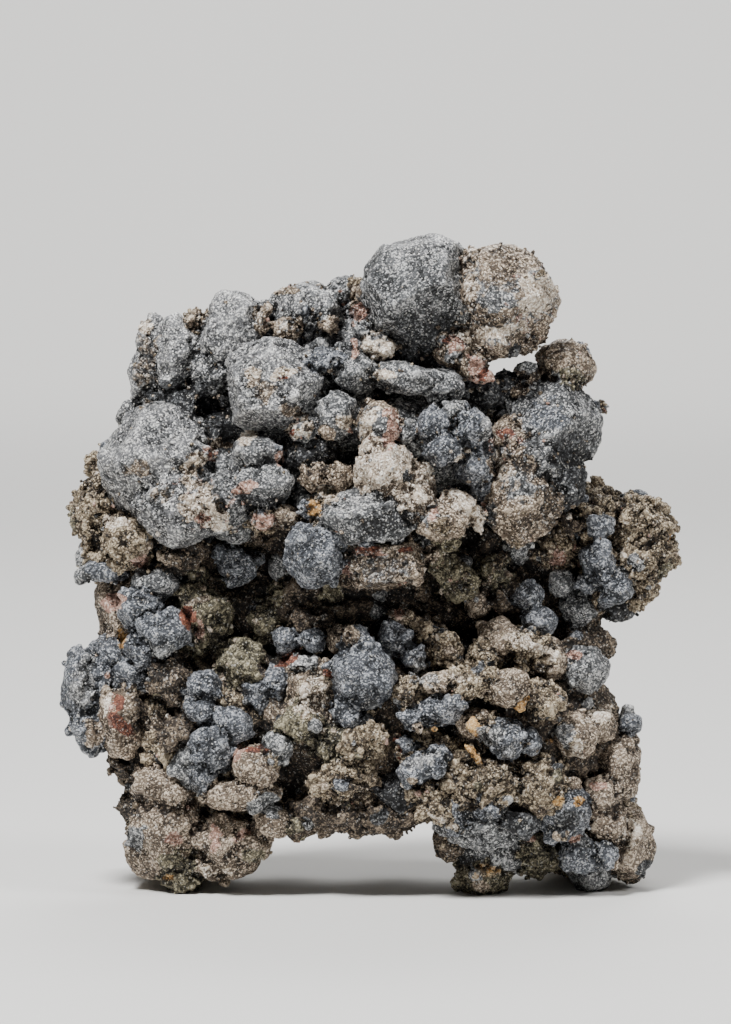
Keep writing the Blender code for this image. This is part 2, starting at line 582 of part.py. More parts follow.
def hollows(name: str, lumps: list[Lump]) -> bpy.types.Object:
    """Makes the closed shapes of a list of hollows, fused where they meet."""
    made = lump_object(name, lumps)
    fill_out(made)
    return made


def fill_out(item: bpy.types.Object) -> None:
    """Fuses the shapes of a cutter, and keeps all of them."""
    remesh = item.modifiers.new("fuse", "REMESH")
    remesh.mode = "VOXEL"
    remesh.voxel_size = CUT_GRAIN
    settle(item)


def space_taken(items: list[bpy.types.Object], lumps: list[Lump]) -> bpy.types.Object:
    """Makes the space that neighbours take up, with the gap round them, and the hollows beside them."""
    made = lump_object("space", [])
    shape = bmesh.new()
    for item in items:
        shape.from_mesh(item.data)
    shape.to_mesh(made.data)
    shape.free()
    swell = made.modifiers.new("gap", "DISPLACE")
    swell.strength = CONTACT_GAP
    swell.mid_level = 0.0
    settle(made)
    for lump in lumps:
        add_lump(made.data, lump)
    fill_out(made)
    return made


def stand_flat(item: bpy.types.Object) -> None:
    """Cuts a solid off at the plane that the feet stand on, and closes the cut with flat faces."""
    shape = bmesh.new()
    shape.from_mesh(item.data)
    everything = shape.verts[:] + shape.edges[:] + shape.faces[:]
    bmesh.ops.bisect_plane(
        shape,
        geom=everything,
        plane_co=(0.0, 0.0, FOOT_PLANE),
        plane_no=(0.0, 0.0, -1.0),
        clear_outer=True,
    )
    rim = [edge for edge in shape.edges if edge.is_boundary]
    bmesh.ops.triangle_fill(shape, edges=rim, use_beauty=True, normal=(0.0, 0.0, -1.0))
    bmesh.ops.recalc_face_normals(shape, faces=shape.faces)
    shape.to_mesh(item.data)
    shape.free()


def build_heap() -> bpy.types.Object:
    """The intergrown crystals of the upper half, as one solid."""
    lumps = CROWN + TOP_RIDGE + LEFT_DOME + BLOCK + MIDDLE_CLUSTER + CREAM_CONE
    lumps += BALL_AND_WEDGE + RIGHT_LUMPS + HEAP_CORE + HEAP_BACK
    heap = lump_object("acanthite_heap", lumps)
    fuse(heap, FUSE_GRAIN)
    roughen(heap)
    holes = hollows("heap hollows", HEAP_HOLLOWS)
    carve(heap, holes)
    bpy.data.objects.remove(holes)
    keep_largest(heap)
    thin_out(heap, HEAP_FACES)
    heap.data.materials.append(finish("acanthite"))
    return heap


def build_apart() -> list[bpy.types.Object]:
    """The crystals that sit apart in the rock, one solid for each group."""
    made = []
    for name, lumps in APART.items():
        crystal = lump_object(name, lumps)
        fuse(crystal, CUT_GRAIN)
        thin_out(crystal, CRYSTAL_FACES)
        crystal.data.materials.append(finish("blue-grey acanthite"))
        made.append(crystal)
    return made


def build_matrix(neighbours: list[bpy.types.Object]) -> bpy.types.Object:
    """The granular rock, hollowed out and cut back from the crystals that it carries."""
    lumps = MATRIX_CORE + LEFT_FOOT + LEFT_WALL + LEFT_CLUSTER_BED + CENTRE
    lumps += RIGHT_ARM + LEDGES + RIGHT_FOOT + BACK
    matrix = lump_object("matrix", lumps)
    fuse(matrix, FUSE_GRAIN)
    roughen(matrix)
    space = space_taken(neighbours, MATRIX_HOLLOWS)
    carve(matrix, space)
    bpy.data.objects.remove(space)
    fuse(matrix, FUSE_GRAIN)
    thin_out(matrix, MATRIX_FACES)
    stand_flat(matrix)
    matrix.data.materials.append(finish("granular rock"))
    return matrix


def main() -> None:
    """Builds the specimen."""
    clear_scene()
    heap = build_heap()
    crystals = build_apart()
    build_matrix([heap, *crystals])


main()
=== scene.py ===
"""Finished surfaces of an acanthite specimen: crystals heaped on granular rock.

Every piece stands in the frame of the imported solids, in metres, +Z up, with the front facing -Y.
The lumps that the specimen grew from are listed in millimetres, as seen from the front.
"""
import logging
import math
from dataclasses import dataclass, field, replace
from enum import Enum

import bpy
import numpy as np
from mathutils import Euler, Matrix, Vector
from mathutils.kdtree import KDTree


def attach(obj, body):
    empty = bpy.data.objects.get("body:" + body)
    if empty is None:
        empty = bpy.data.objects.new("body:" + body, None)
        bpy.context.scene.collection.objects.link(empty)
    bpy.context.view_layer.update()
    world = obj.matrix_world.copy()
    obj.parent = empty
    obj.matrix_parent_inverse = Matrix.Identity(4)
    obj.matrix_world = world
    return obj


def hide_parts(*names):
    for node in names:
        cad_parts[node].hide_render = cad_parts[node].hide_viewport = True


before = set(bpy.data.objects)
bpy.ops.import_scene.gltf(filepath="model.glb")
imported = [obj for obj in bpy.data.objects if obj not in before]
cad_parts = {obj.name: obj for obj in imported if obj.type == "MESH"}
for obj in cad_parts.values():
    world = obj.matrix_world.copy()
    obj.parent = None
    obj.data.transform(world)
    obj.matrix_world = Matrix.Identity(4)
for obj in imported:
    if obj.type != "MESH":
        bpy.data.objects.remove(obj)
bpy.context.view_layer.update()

LOG = logging.getLogger("acanthite")
MM = 0.001
BODY = "root"

# The flat faces of a shape, each as its bearing from the front, its rise and its distance
Faces = tuple[tuple[float, float, float], ...]


class Coat(Enum):
    """What a lump or a patch of the surface is made of or covered with. The black coat is partly painted
    shade and the pale one partly painted light.
    """

    GREY = "grey"
    PALE = "pale"
    SLATE = "slate"
    BLACK = "black"
    BUFF = "buff"
    TAN = "tan"
    OLIVE = "olive"
    BROWN = "brown"
    CREAM = "cream"
    SALMON = "salmon"
    RUST = "rust"
    GOLD = "gold"


GREY, PALE, SLATE, BLACK, BUFF, TAN, OLIVE, BROWN, CREAM, SALMON, RUST, GOLD = Coat


@dataclass(frozen=True)
class Coating:
    """The look of a coat: its colours from its darkest to its lightest grains, which its tone spreads over
    at random and as painted shade and painted light, and how cobbled it is.
    """

    dark: str
    middle: str
    light: str
    cobbled: float


# Bare sulphide is grey to blue-black, and what has settled or grown on it runs from cream to rust
COATINGS = {
    Coat.GREY: Coating("#151617", "#646668", "#cfcfce", 0.0),
    # Pale: a paler grey of the acanthite, and painted light where it brightens the lit tops and faces of
    # lumps
    Coat.PALE: Coating("#222324", "#828385", "#e8e7e4", 0.0),
    Coat.SLATE: Coating("#111418", "#585c63", "#b8bbc0", 0.05),
    # Black: the colour of black crystals, and painted shade where it coats the hidden core lumps and the
    # dark patches in creases and on lower faces
    Coat.BLACK: Coating("#060607", "#232427", "#77797b", 0.1),
    Coat.BUFF: Coating("#211810", "#796a5a", "#e0cfb9", 0.12),
    Coat.TAN: Coating("#1c140c", "#7a6b57", "#d6c6aa", 1.0),
    Coat.OLIVE: Coating("#16130c", "#605a48", "#b4ab8f", 0.55),
    Coat.BROWN: Coating("#0b0806", "#3c3229", "#93836f", 0.5),
    Coat.CREAM: Coating("#4c4034", "#d4c3ae", "#fffaf0", 0.15),
    Coat.SALMON: Coating("#472e26", "#b18b7a", "#e6c9ba", 0.2),
    Coat.RUST: Coating("#2e1711", "#764637", "#a56c54", 0.1),
    Coat.GOLD: Coating("#5e4422", "#c19359", "#ecca92", 0.0),
}

# How far from the centre the flat faces of a crystal lie, as a share of its half size
CUBE_FACE = 0.8
CORNER_FACE = 0.88
FACETED_SIZE = 1.04

# The worn shapes that the other lumps have: how many there are, their flat faces, how far from the
# centre those lie, and how far each strays from its even place on a spiral, in degrees
WORN_SHAPES = 6
WORN_FACES = 12
WORN_NEAREST = 0.78
WORN_FARTHEST = 0.95
WORN_TURN = 137.5
WORN_BEARING_STRAY = 20.0
WORN_RISE_STRAY = 12.0

# How often the sphere that a lump is cut from is subdivided, and the half size in millimetres up to
# which a lump is made from the coarser one
FINE_SPHERE = 5
COARSE_SPHERE = 3
SMALL_LUMP = 1.6

# How a lump's place sets its turn and its worn shape, so that neighbours differ, and the shares of the
# turn that go about each axis
TURN_BY_PLACE = (37.0, 23.0)
SHAPE_BY_PLACE = (7.0, 13.0)
TURN_SHARES = (1.0, 0.6, 1.4)

# The flat faces of crystals that show theirs: bearing from the front, rise, and distance
CROWN_FACES = (
    (-10, 34, 0.80), (8, -34, 0.74), (-64, 0, 0.88), (66, 2, 0.80), (-84, 44, 0.87), (0, 84, 0.84),
    (180, 0, 0.88), (-42, -46, 0.86), (0, -88, 0.84),
)
BLOCK_FACES = (
    (-4, 12, 0.76), (-80, -4, 0.78), (-50, 46, 0.84), (48, 44, 0.80), (50, -26, 0.80), (-10, -60, 0.80),
    (180, 0, 0.9),
)
WEDGE_FACES = (
    (4, 4, 0.64), (0, 78, 0.72), (0, -72, 0.78), (-70, -16, 0.80), (76, 10, 0.84), (180, 0, 0.9),
)
RIDGED_FACES = (
    (-16, 36, 0.76), (44, -26, 0.70), (-56, -14, 0.82), (66, 34, 0.84), (0, -78, 0.84), (180, 0, 0.9),
)
LOAF_FACES = (
    (-12, 46, 0.78), (12, -10, 0.74), (-54, -20, 0.82), (66, 0, 0.86), (0, -80, 0.78), (180, 0, 0.9),
)


@dataclass(frozen=True)
class Lump:
    """A rounded body in millimetres: its centre, its half sizes, and its tilt in the front plane.

    A lump with a turn is a crystal, whose flat faces are turned by that many degrees. A lump with faces
    of its own is cut by those instead, and any other lump has a worn shape.
    """

    x: float
    y: float
    z: float
    rx: float
    ry: float
    rz: float
    tilt: float = 0.0
    turn: float | None = None
    coat: Coat = Coat.GREY
    faces: Faces = ()

    def by_place(self, across: float, up: float) -> float:
        """A value that follows from the lump's place, weighed by the two numbers given."""
        return abs(self.x * across + self.z * up)

    def own_turn(self) -> float:
        """The turn of the lump's faces in degrees, which follows from its place if it has none."""
        return self.turn if self.turn is not None else self.by_place(*TURN_BY_PLACE) % 180.0

    def radius(self) -> float:
        """The mean half size in millimetres."""
        return (self.rx + self.ry + self.rz) / 3.0

    def lean(self) -> Matrix:
        """The turning of the lump in the front plane."""
        return Matrix.Rotation(math.radians(-self.tilt), 4, "Y")

    def place(self) -> Matrix:
        """The matrix that takes a starting shape of radius 1 to this lump, in metres.

        Returns:
            The matrix of its size, spin, tilt and place.
        """
        turn = 0.0 if self.faces else self.own_turn()
        spin = Euler([math.radians(turn * share) for share in TURN_SHARES])
        grown = MM if self.faces else MM * FACETED_SIZE
        sizes = [size * grown for size in (self.rx, self.ry, self.rz)]
        centre = Matrix.Translation((self.x * MM, self.y * MM, self.z * MM))
        return centre @ self.lean() @ Matrix.Diagonal((*sizes, 1.0)) @ spin.to_matrix().to_4x4()

    def nearness(self, points: np.ndarray) -> np.ndarray:
        """How far out each point lies, as a share of the lump's half size in that direction.

        Args:
            points: places in millimetres.

        Returns:
            Zero at the centre, one on the lump's skin.
        """
        local = (points - (self.x, self.y, self.z)) @ np.array(self.lean().to_3x3())
        return np.linalg.norm(local / (self.rx, self.ry, self.rz), axis=1)


# The intergrown crystals of the upper half
CROWN_CRYSTAL = (
    Lump(5.4, -5.0, 66.2, 6.9, 7.3, 6.8, 14, coat=GREY, faces=CROWN_FACES),
)
CROWN_PARTNER = (
    Lump(14.4, -4.2, 65.0, 6.8, 6.5, 6.3, coat=BUFF),
    Lump(16.6, -4.0, 61.4, 3.2, 3.4, 2.2, 15, coat=BUFF),
    Lump(13.4, -4.6, 61.0, 2.8, 3.2, 1.8, coat=BUFF),
    Lump(11.2, -4.0, 69.2, 2.0, 3.0, 1.8, coat=BUFF),
    Lump(9.6, -6.5, 60.4, 2.6, 3.0, 2.6, coat=BUFF),
    Lump(11.2, -7.4, 58.6, 2.2, 2.2, 2.0, -35, 12, coat=BUFF),
    Lump(12.2, -7.6, 57.3, 1.5, 1.6, 1.2, coat=SALMON),
    Lump(4.5, -2.5, 60.5, 4.0, 5.0, 3.4, coat=BLACK),
    Lump(-1.0, -2.5, 66.4, 1.3, 1.6, 1.3, coat=TAN),
    Lump(-0.2, -4.0, 64.0, 1.6, 2.0, 1.7, coat=BUFF),
    Lump(1.2, -7.5, 60.4, 1.8, 1.8, 1.7, coat=CREAM),
    Lump(-0.5, -6.5, 62.2, 1.5, 1.6, 1.5, coat=GREY),
)
TOP_RIDGE = (
    Lump(-6.6, -1.0, 63.7, 4.6, 4.4, 3.8, 0, 25, coat=GREY),
    Lump(-12.2, -3.6, 63.0, 1.4, 1.6, 2.0, coat=BUFF),
    Lump(-12.0, -1.0, 62.9, 2.2, 2.6, 2.4, coat=GREY),
    Lump(-9.1, -4.8, 62.0, 1.5, 1.6, 1.8, coat=BUFF),
    Lump(-4.4, -5.0, 62.8, 1.2, 1.5, 1.3, coat=BUFF),
    Lump(-7.0, -4.0, 63.2, 1.4, 1.6, 1.3, coat=GREY),
    Lump(-3.0, -1.0, 66.1, 1.9, 2.4, 1.9, coat=GREY),
)
TOP_LEFT = (
    Lump(-15.2, -2.2, 61.0, 3.9, 4.4, 5.9, -16, 5, coat=PALE),
    Lump(-17.0, -3.2, 57.2, 2.9, 3.2, 3.0, coat=GREY),
    Lump(-21.4, -2.0, 59.4, 2.9, 3.4, 4.4, 0, 30, coat=PALE),
    Lump(-19.3, 0.0, 62.7, 1.3, 1.8, 1.3, coat=TAN),
    Lump(-24.2, -0.4, 58.4, 1.9, 2.8, 5.0, coat=PALE),
    Lump(-25.4, -1.2, 56.4, 1.4, 2.2, 3.3, coat=PALE),
    Lump(-26.6, -1.4, 52.2, 1.5, 2.0, 2.1, coat=PALE),
    Lump(-23.6, 1.0, 54.5, 2.8, 4.0, 3.0, coat=BLACK),
)
LEFT_DOME = (
    Lump(-22.9, -3.8, 46.6, 6.7, 8.2, 7.2, 8, coat=PALE),
    Lump(-28.4, -0.5, 47.4, 1.7, 3.0, 2.8, coat=SLATE),
    Lump(-20.7, -8.4, 43.0, 5.5, 4.2, 4.6, coat=PALE),
    Lump(-16.0, -10.2, 43.6, 3.4, 3.2, 3.6, 0, 35, coat=GREY),
    Lump(-19.0, -8.0, 48.6, 2.2, 2.0, 1.4, coat=PALE),
    Lump(-12.4, -10.8, 49.0, 2.8, 2.6, 1.8, coat=GREY),
    Lump(-11.6, -11.2, 45.6, 3.5, 3.0, 2.7, 10, 50, coat=GREY),
    Lump(-11.5, -10.6, 41.6, 1.8, 2.2, 1.5, 10, 7, coat=TAN),
    Lump(-9.0, -10.6, 41.8, 1.7, 2.2, 1.5, -10, 19, coat=BUFF),
    Lump(-15.0, -7.0, 40.4, 2.6, 3.4, 1.8, coat=GREY),
)
# The faceted block, whose pale coat is partly painted light
BLOCK = (
    Lump(-10.6, -8.0, 56.1, 5.9, 5.5, 5.5, coat=PALE, faces=BLOCK_FACES),
    Lump(-7.2, -10.6, 51.5, 1.8, 1.6, 1.6, 0, 31, coat=GREY),
    Lump(-3.6, -10.8, 53.0, 2.3, 2.4, 2.9, 0, 18, coat=GREY),
    Lump(-4.6, -8.0, 59.0, 3.0, 2.8, 1.5, 5, 0, coat=SLATE),
    Lump(-1.6, -8.0, 57.8, 2.8, 3.0, 2.6, 0, 33, coat=GREY),
    Lump(4.4, -8.6, 56.9, 4.6, 3.2, 1.9, -10, 8, coat=GREY),
    Lump(8.4, -8.8, 56.0, 2.1, 2.4, 2.0, 0, 40, coat=GREY),
)
MIDDLE_CLUSTER = (
    Lump(7.0, -12.6, 52.1, 2.0, 2.0, 2.0, 0, 10, coat=SLATE),
    Lump(11.2, -11.8, 51.8, 2.3, 2.2, 2.2, 0, 35, coat=SLATE),
    Lump(8.0, -12.8, 49.7, 2.3, 2.2, 2.1, 0, 20, coat=SLATE),
    Lump(9.4, -11.0, 53.4, 1.8, 1.9, 1.6, 0, 5, coat=GREY),
    Lump(9.2, -10.4, 51.0, 3.4, 2.6, 2.8, coat=SLATE),
    Lump(11.5, -10.2, 47.4, 2.4, 2.4, 2.4, 0, 30, coat=SLATE),
    Lump(12.4, -8.8, 44.8, 2.1, 2.2, 2.2, 0, 15, coat=SLATE),
    Lump(1.0, -11.6, 52.0, 2.4, 2.6, 2.8, coat=BUFF),
    Lump(4.2, -10.8, 51.0, 1.7, 2.0, 1.7, coat=GREY),
    Lump(-6.5, -8.6, 48.6, 3.2, 3.2, 3.2, 0, 22, coat=BLACK),
    Lump(-6.0, -10.8, 46.4, 1.9, 2.0, 1.8, coat=BUFF),
    Lump(-3.0, -11.4, 46.2, 1.8, 2.0, 1.8, 0, 9, coat=BUFF),
)
CREAM_CONE = (
    Lump(1.8, -12.4, 46.6, 3.5, 4.0, 3.9, coat=CREAM),
    Lump(1.0, -12.4, 49.2, 2.2, 2.4, 2.4, coat=CREAM),
    Lump(3.2, -11.6, 45.2, 4.8, 4.0, 3.4, -32, coat=CREAM),
    Lump(4.6, -12.8, 43.8, 3.2, 3.6, 2.6, -25, coat=CREAM),
    Lump(7.4, -13.2, 41.8, 3.4, 3.0, 2.4, -10, 24, coat=BUFF),
    Lump(9.6, -11.8, 43.0, 2.3, 2.4, 2.1, coat=CREAM),
    Lump(11.4, -10.8, 42.0, 1.7, 2.0, 1.6, coat=CREAM),
    Lump(-0.2, -13.0, 42.0, 5.6, 4.8, 3.6, 5, coat=GREY, faces=LOAF_FACES),
    Lump(-5.4, -11.4, 42.4, 2.0, 2.2, 1.8, coat=TAN),
)
BALL_AND_WEDGE = (
    Lump(-5.8, -12.2, 38.0, 4.1, 4.2, 3.8, coat=SLATE),
    Lump(1.5, -11.6, 37.0, 4.9, 4.8, 3.3, 4, coat=BUFF, faces=WEDGE_FACES),
    Lump(-1.4, -11.2, 37.6, 2.6, 3.4, 2.4, coat=BROWN),
    Lump(7.6, -8.2, 38.8, 1.9, 2.0, 2.4, coat=OLIVE),
    Lump(8.8, -7.2, 36.0, 1.8, 1.9, 2.4, 15, coat=OLIVE),
    Lump(10.0, -6.6, 33.8, 2.1, 1.9, 1.7, coat=OLIVE),
)
RIGHT_LUMPS = (
    Lump(20.3, -4.6, 51.2, 5.5, 6.2, 5.5, 8, coat=GREY, faces=RIDGED_FACES),
    Lump(16.5, -8.6, 43.6, 4.5, 4.8, 5.0, 0, 32, coat=BUFF),
    Lump(21.2, -5.0, 46.0, 3.0, 4.8, 3.8, 0, 44, coat=BLACK),
    Lump(17.8, -6.6, 47.4, 4.2, 5.0, 4.6, coat=GREY),
    Lump(16.0, -7.4, 50.4, 2.4, 3.2, 2.6, coat=BUFF),
    Lump(21.6, -2.2, 57.8, 3.3, 3.3, 3.1, coat=BUFF),
    Lump(23.2, -1.4, 59.2, 1.4, 1.8, 1.5, coat=SLATE),
    Lump(17.6, -2.8, 56.0, 2.2, 2.8, 2.2, coat=BUFF),
    Lump(15.0, -3.8, 55.4, 2.1, 2.6, 2.0, coat=BLACK),
    Lump(12.8, -5.4, 55.4, 1.8, 2.4, 1.8, coat=BLACK),
    Lump(25.0, -2.2, 53.2, 0.9, 1.2, 1.0, coat=TAN),
    Lump(17.4, -5.0, 58.0, 1.2, 1.4, 0.9, coat=GREY),
)
# The hidden core of the heap, whose black lumps darken the gaps between the crystals as painted shade
HEAP_CORE = (
    Lump(-13.0, 1.6, 52.0, 12.5, 8.6, 8.4, coat=BLACK),
    Lump(3.0, 1.0, 50.6, 14.0, 8.6, 7.4, coat=BLACK),
    Lump(-3.0, 1.2, 59.0, 10.5, 6.0, 5.2, coat=GREY),
    Lump(4.6, 0.6, 62.6, 4.6, 5.0, 5.0, coat=BLACK),
    Lump(-3.0, -2.8, 44.0, 12.0, 7.4, 5.0, coat=GREY),
    Lump(15.0, 0.0, 47.0, 7.4, 7.4, 6.6, coat=BLACK),
    Lump(-15.0, -1.8, 46.0, 8.0, 7.0, 5.4, coat=GREY),
    Lump(-5.4, -4.8, 52.6, 7.4, 5.0, 5.6, coat=GREY),
    Lump(6.0, -5.2, 50.0, 6.4, 5.4, 6.2, coat=GREY),
)
HEAP_BACK = (
    Lump(-20.4, 5.8, 52.8, 5.2, 4.8, 5.0, coat=GREY),
    Lump(-12.0, 8.2, 57.4, 5.0, 4.6, 4.6, 20, coat=BUFF),
    Lump(-3.4, 7.4, 61.4, 4.6, 4.0, 3.8, coat=GREY),
    Lump(4.4, 6.2, 65.2, 3.6, 4.0, 3.8, coat=PALE),
    Lump(4.8, 8.6, 56.8, 4.8, 4.4, 4.2, -15, coat=GREY),
    Lump(12.6, 6.2, 51.8, 4.6, 4.8, 4.0, coat=SLATE),
    Lump(19.6, 3.8, 50.2, 4.0, 4.6, 4.4, coat=GREY),
    Lump(-10.0, 6.4, 53.4, 10.5, 5.6, 5.6, 10, coat=GREY),
    Lump(6.0, 5.8, 54.4, 9.0, 5.6, 5.4, -10, coat=SLATE),
    Lump(0.0, 4.8, 61.0, 7.4, 4.8, 4.4, 12, coat=GREY),
    Lump(20.6, 3.0, 55.6, 2.8, 2.8, 2.4, coat=TAN),
)

# The granular rock
# The core shows in the hollows, where its dark brown is partly painted shade
MATRIX_CORE = (
    Lump(0.0, 0.2, 18.0, 23.5, 12.2, 10.8, coat=BROWN),
    Lump(-3.0, 3.6, 33.0, 23.0, 9.4, 12.0, coat=BROWN),
    Lump(-2.0, 6.6, 47.0, 19.0, 6.0, 11.0, coat=BROWN),
    Lump(14.0, -0.6, 17.0, 14.0, 12.0, 10.5, coat=BROWN),
    Lump(-16.0, -0.2, 17.0, 11.5, 10.8, 11.0, coat=TAN),
    Lump(16.0, 3.6, 35.0, 10.0, 7.6, 8.0, coat=BROWN),
)
LEFT_FOOT = (
    Lump(-22.3, -3.6, 6.6, 5.0, 7.4, 6.4, coat=BUFF),
    Lump(-25.1, -2.6, 8.8, 2.8, 5.6, 2.7, coat=BROWN),
    Lump(-25.2, -3.0, 5.8, 2.0, 4.4, 2.4, coat=GREY),
    Lump(-22.6, -6.6, 11.6, 3.8, 4.8, 2.8, coat=BUFF),
    Lump(-15.2, -7.4, 5.6, 4.1, 4.6, 4.2, 0, 14, coat=BUFF),
    Lump(-13.4, -9.6, 5.6, 2.7, 2.8, 2.3, coat=BUFF),
    Lump(-17.2, -7.0, 3.2, 2.6, 3.4, 2.0, coat=BUFF),
    Lump(-21.0, -5.2, 2.0, 2.8, 4.6, 2.6, coat=OLIVE),
    Lump(-20.4, 7.4, 6.2, 6.0, 7.0, 6.7, coat=TAN),
    Lump(-25.6, -1.2, 14.2, 3.3, 5.6, 3.2, coat=BROWN),
    Lump(-10.4, -10.0, 8.4, 2.4, 3.0, 2.2, coat=BUFF),
    Lump(-8.0, -8.6, 8.4, 2.4, 3.4, 1.9, coat=BROWN),
)
LEFT_WALL = (
    Lump(-27.4, -5.0, 19.2, 3.4, 4.4, 4.6, coat=BUFF),
    Lump(-28.6, -1.6, 26.2, 2.2, 4.4, 2.6, coat=SLATE),
    Lump(-26.2, -5.2, 23.9, 2.6, 3.2, 2.2, coat=SLATE),
    Lump(-22.0, -7.6, 24.0, 2.8, 3.0, 2.6, coat=BROWN),
    Lump(-27.4, 0.0, 31.0, 3.1, 5.4, 5.0, coat=BUFF),
    Lump(-28.5, -0.4, 37.0, 3.1, 5.0, 3.2, coat=TAN),
    Lump(-29.7, -0.6, 41.4, 3.1, 4.8, 3.8, coat=TAN),
    Lump(-28.4, 0.4, 45.0, 2.8, 5.0, 3.4, coat=TAN),
    Lump(-26.6, -4.6, 39.0, 3.0, 3.6, 3.2, coat=TAN),
    Lump(-23.4, -4.6, 34.2, 3.2, 3.6, 1.8, coat=GREY),
    Lump(-20.6, -5.2, 37.4, 2.4, 3.0, 2.2, coat=BROWN),
    Lump(-18.2, -4.8, 31.0, 3.0, 3.8, 4.6, coat=OLIVE),
    Lump(-14.2, -6.6, 24.8, 3.0, 3.6, 3.4, coat=OLIVE),
    Lump(-22.0, -1.0, 41.0, 6.0, 5.0, 4.0, coat=BLACK),
)
LEFT_CLUSTER_BED = (
    Lump(-20.4, -8.2, 18.2, 2.6, 3.4, 2.6, coat=BROWN),
    Lump(-12.4, -12.2, 14.2, 2.5, 2.6, 2.5, coat=BUFF),
    Lump(-14.0, -10.0, 11.4, 4.6, 4.4, 1.9, coat=BUFF),
    Lump(-19.0, -8.6, 14.6, 3.2, 3.6, 3.2, coat=GREY),
    Lump(-10.0, -12.2, 16.8, 1.8, 2.0, 1.8, coat=GREY),
)
CENTRE = (
    Lump(-6.0, -9.4, 23.0, 3.4, 3.6, 3.4, coat=BUFF),
    Lump(-6.8, -11.4, 19.4, 2.8, 2.8, 2.8, coat=OLIVE),
    Lump(-4.6, -11.8, 17.2, 2.2, 2.6, 2.2, coat=OLIVE),
    Lump(-7.0, -10.0, 25.6, 2.2, 2.2, 1.3, coat=PALE),
    Lump(-11.3, -4.2, 29.8, 1.7, 2.4, 2.6, 20, coat=OLIVE),
    Lump(-9.8, -3.2, 32.4, 1.5, 2.2, 1.8, coat=OLIVE),
    Lump(-3.2, -9.2, 28.4, 1.8, 2.2, 1.6, coat=BUFF),
    Lump(-6.4, -6.6, 29.8, 2.4, 2.4, 1.8, coat=BROWN),
    Lump(3.4, -7.0, 30.2, 1.6, 2.0, 2.0, coat=BUFF),
    Lump(6.0, -7.2, 28.8, 2.2, 2.4, 1.8, -20, coat=TAN),
    Lump(8.2, -8.2, 26.8, 2.0, 2.6, 1.9, coat=TAN),
    Lump(-1.0, -13.0, 17.4, 2.5, 2.6, 2.3, coat=TAN),
    Lump(-2.6, -12.4, 13.4, 3.2, 3.0, 2.6, coat=TAN),
    Lump(-1.0, -8.6, 9.4, 8.2, 5.2, 2.5, coat=BROWN),
    Lump(3.2, -11.6, 11.6, 3.0, 2.6, 2.4, coat=BLACK),
)
RIGHT_ARM = (
    Lump(25.0, 0.4, 41.0, 3.4, 5.0, 3.3, coat=TAN),
    Lump(29.4, 0.6, 39.6, 4.3, 5.0, 4.0, coat=TAN),
    Lump(31.2, 0.4, 37.2, 2.9, 4.2, 3.2, coat=TAN),
    Lump(27.6, -0.4, 34.4, 4.0, 4.8, 4.2, coat=TAN),
    Lump(27.4, 0.2, 31.8, 2.6, 4.0, 2.6, coat=BLACK),
    Lump(23.4, -1.2, 27.0, 3.0, 4.6, 4.0, coat=BROWN),
    Lump(23.2, -2.8, 31.0, 2.2, 2.8, 2.8, coat=GREY),
    Lump(23.0, -2.8, 40.6, 2.0, 2.4, 1.6, coat=BROWN),
    Lump(20.6, -0.6, 37.4, 2.6, 3.4, 2.6, coat=TAN),
    Lump(29.6, -2.6, 36.6, 2.6, 3.0, 2.6, coat=TAN),
    Lump(23.6, 5.6, 35.6, 5.0, 4.6, 5.0, coat=BROWN),
)
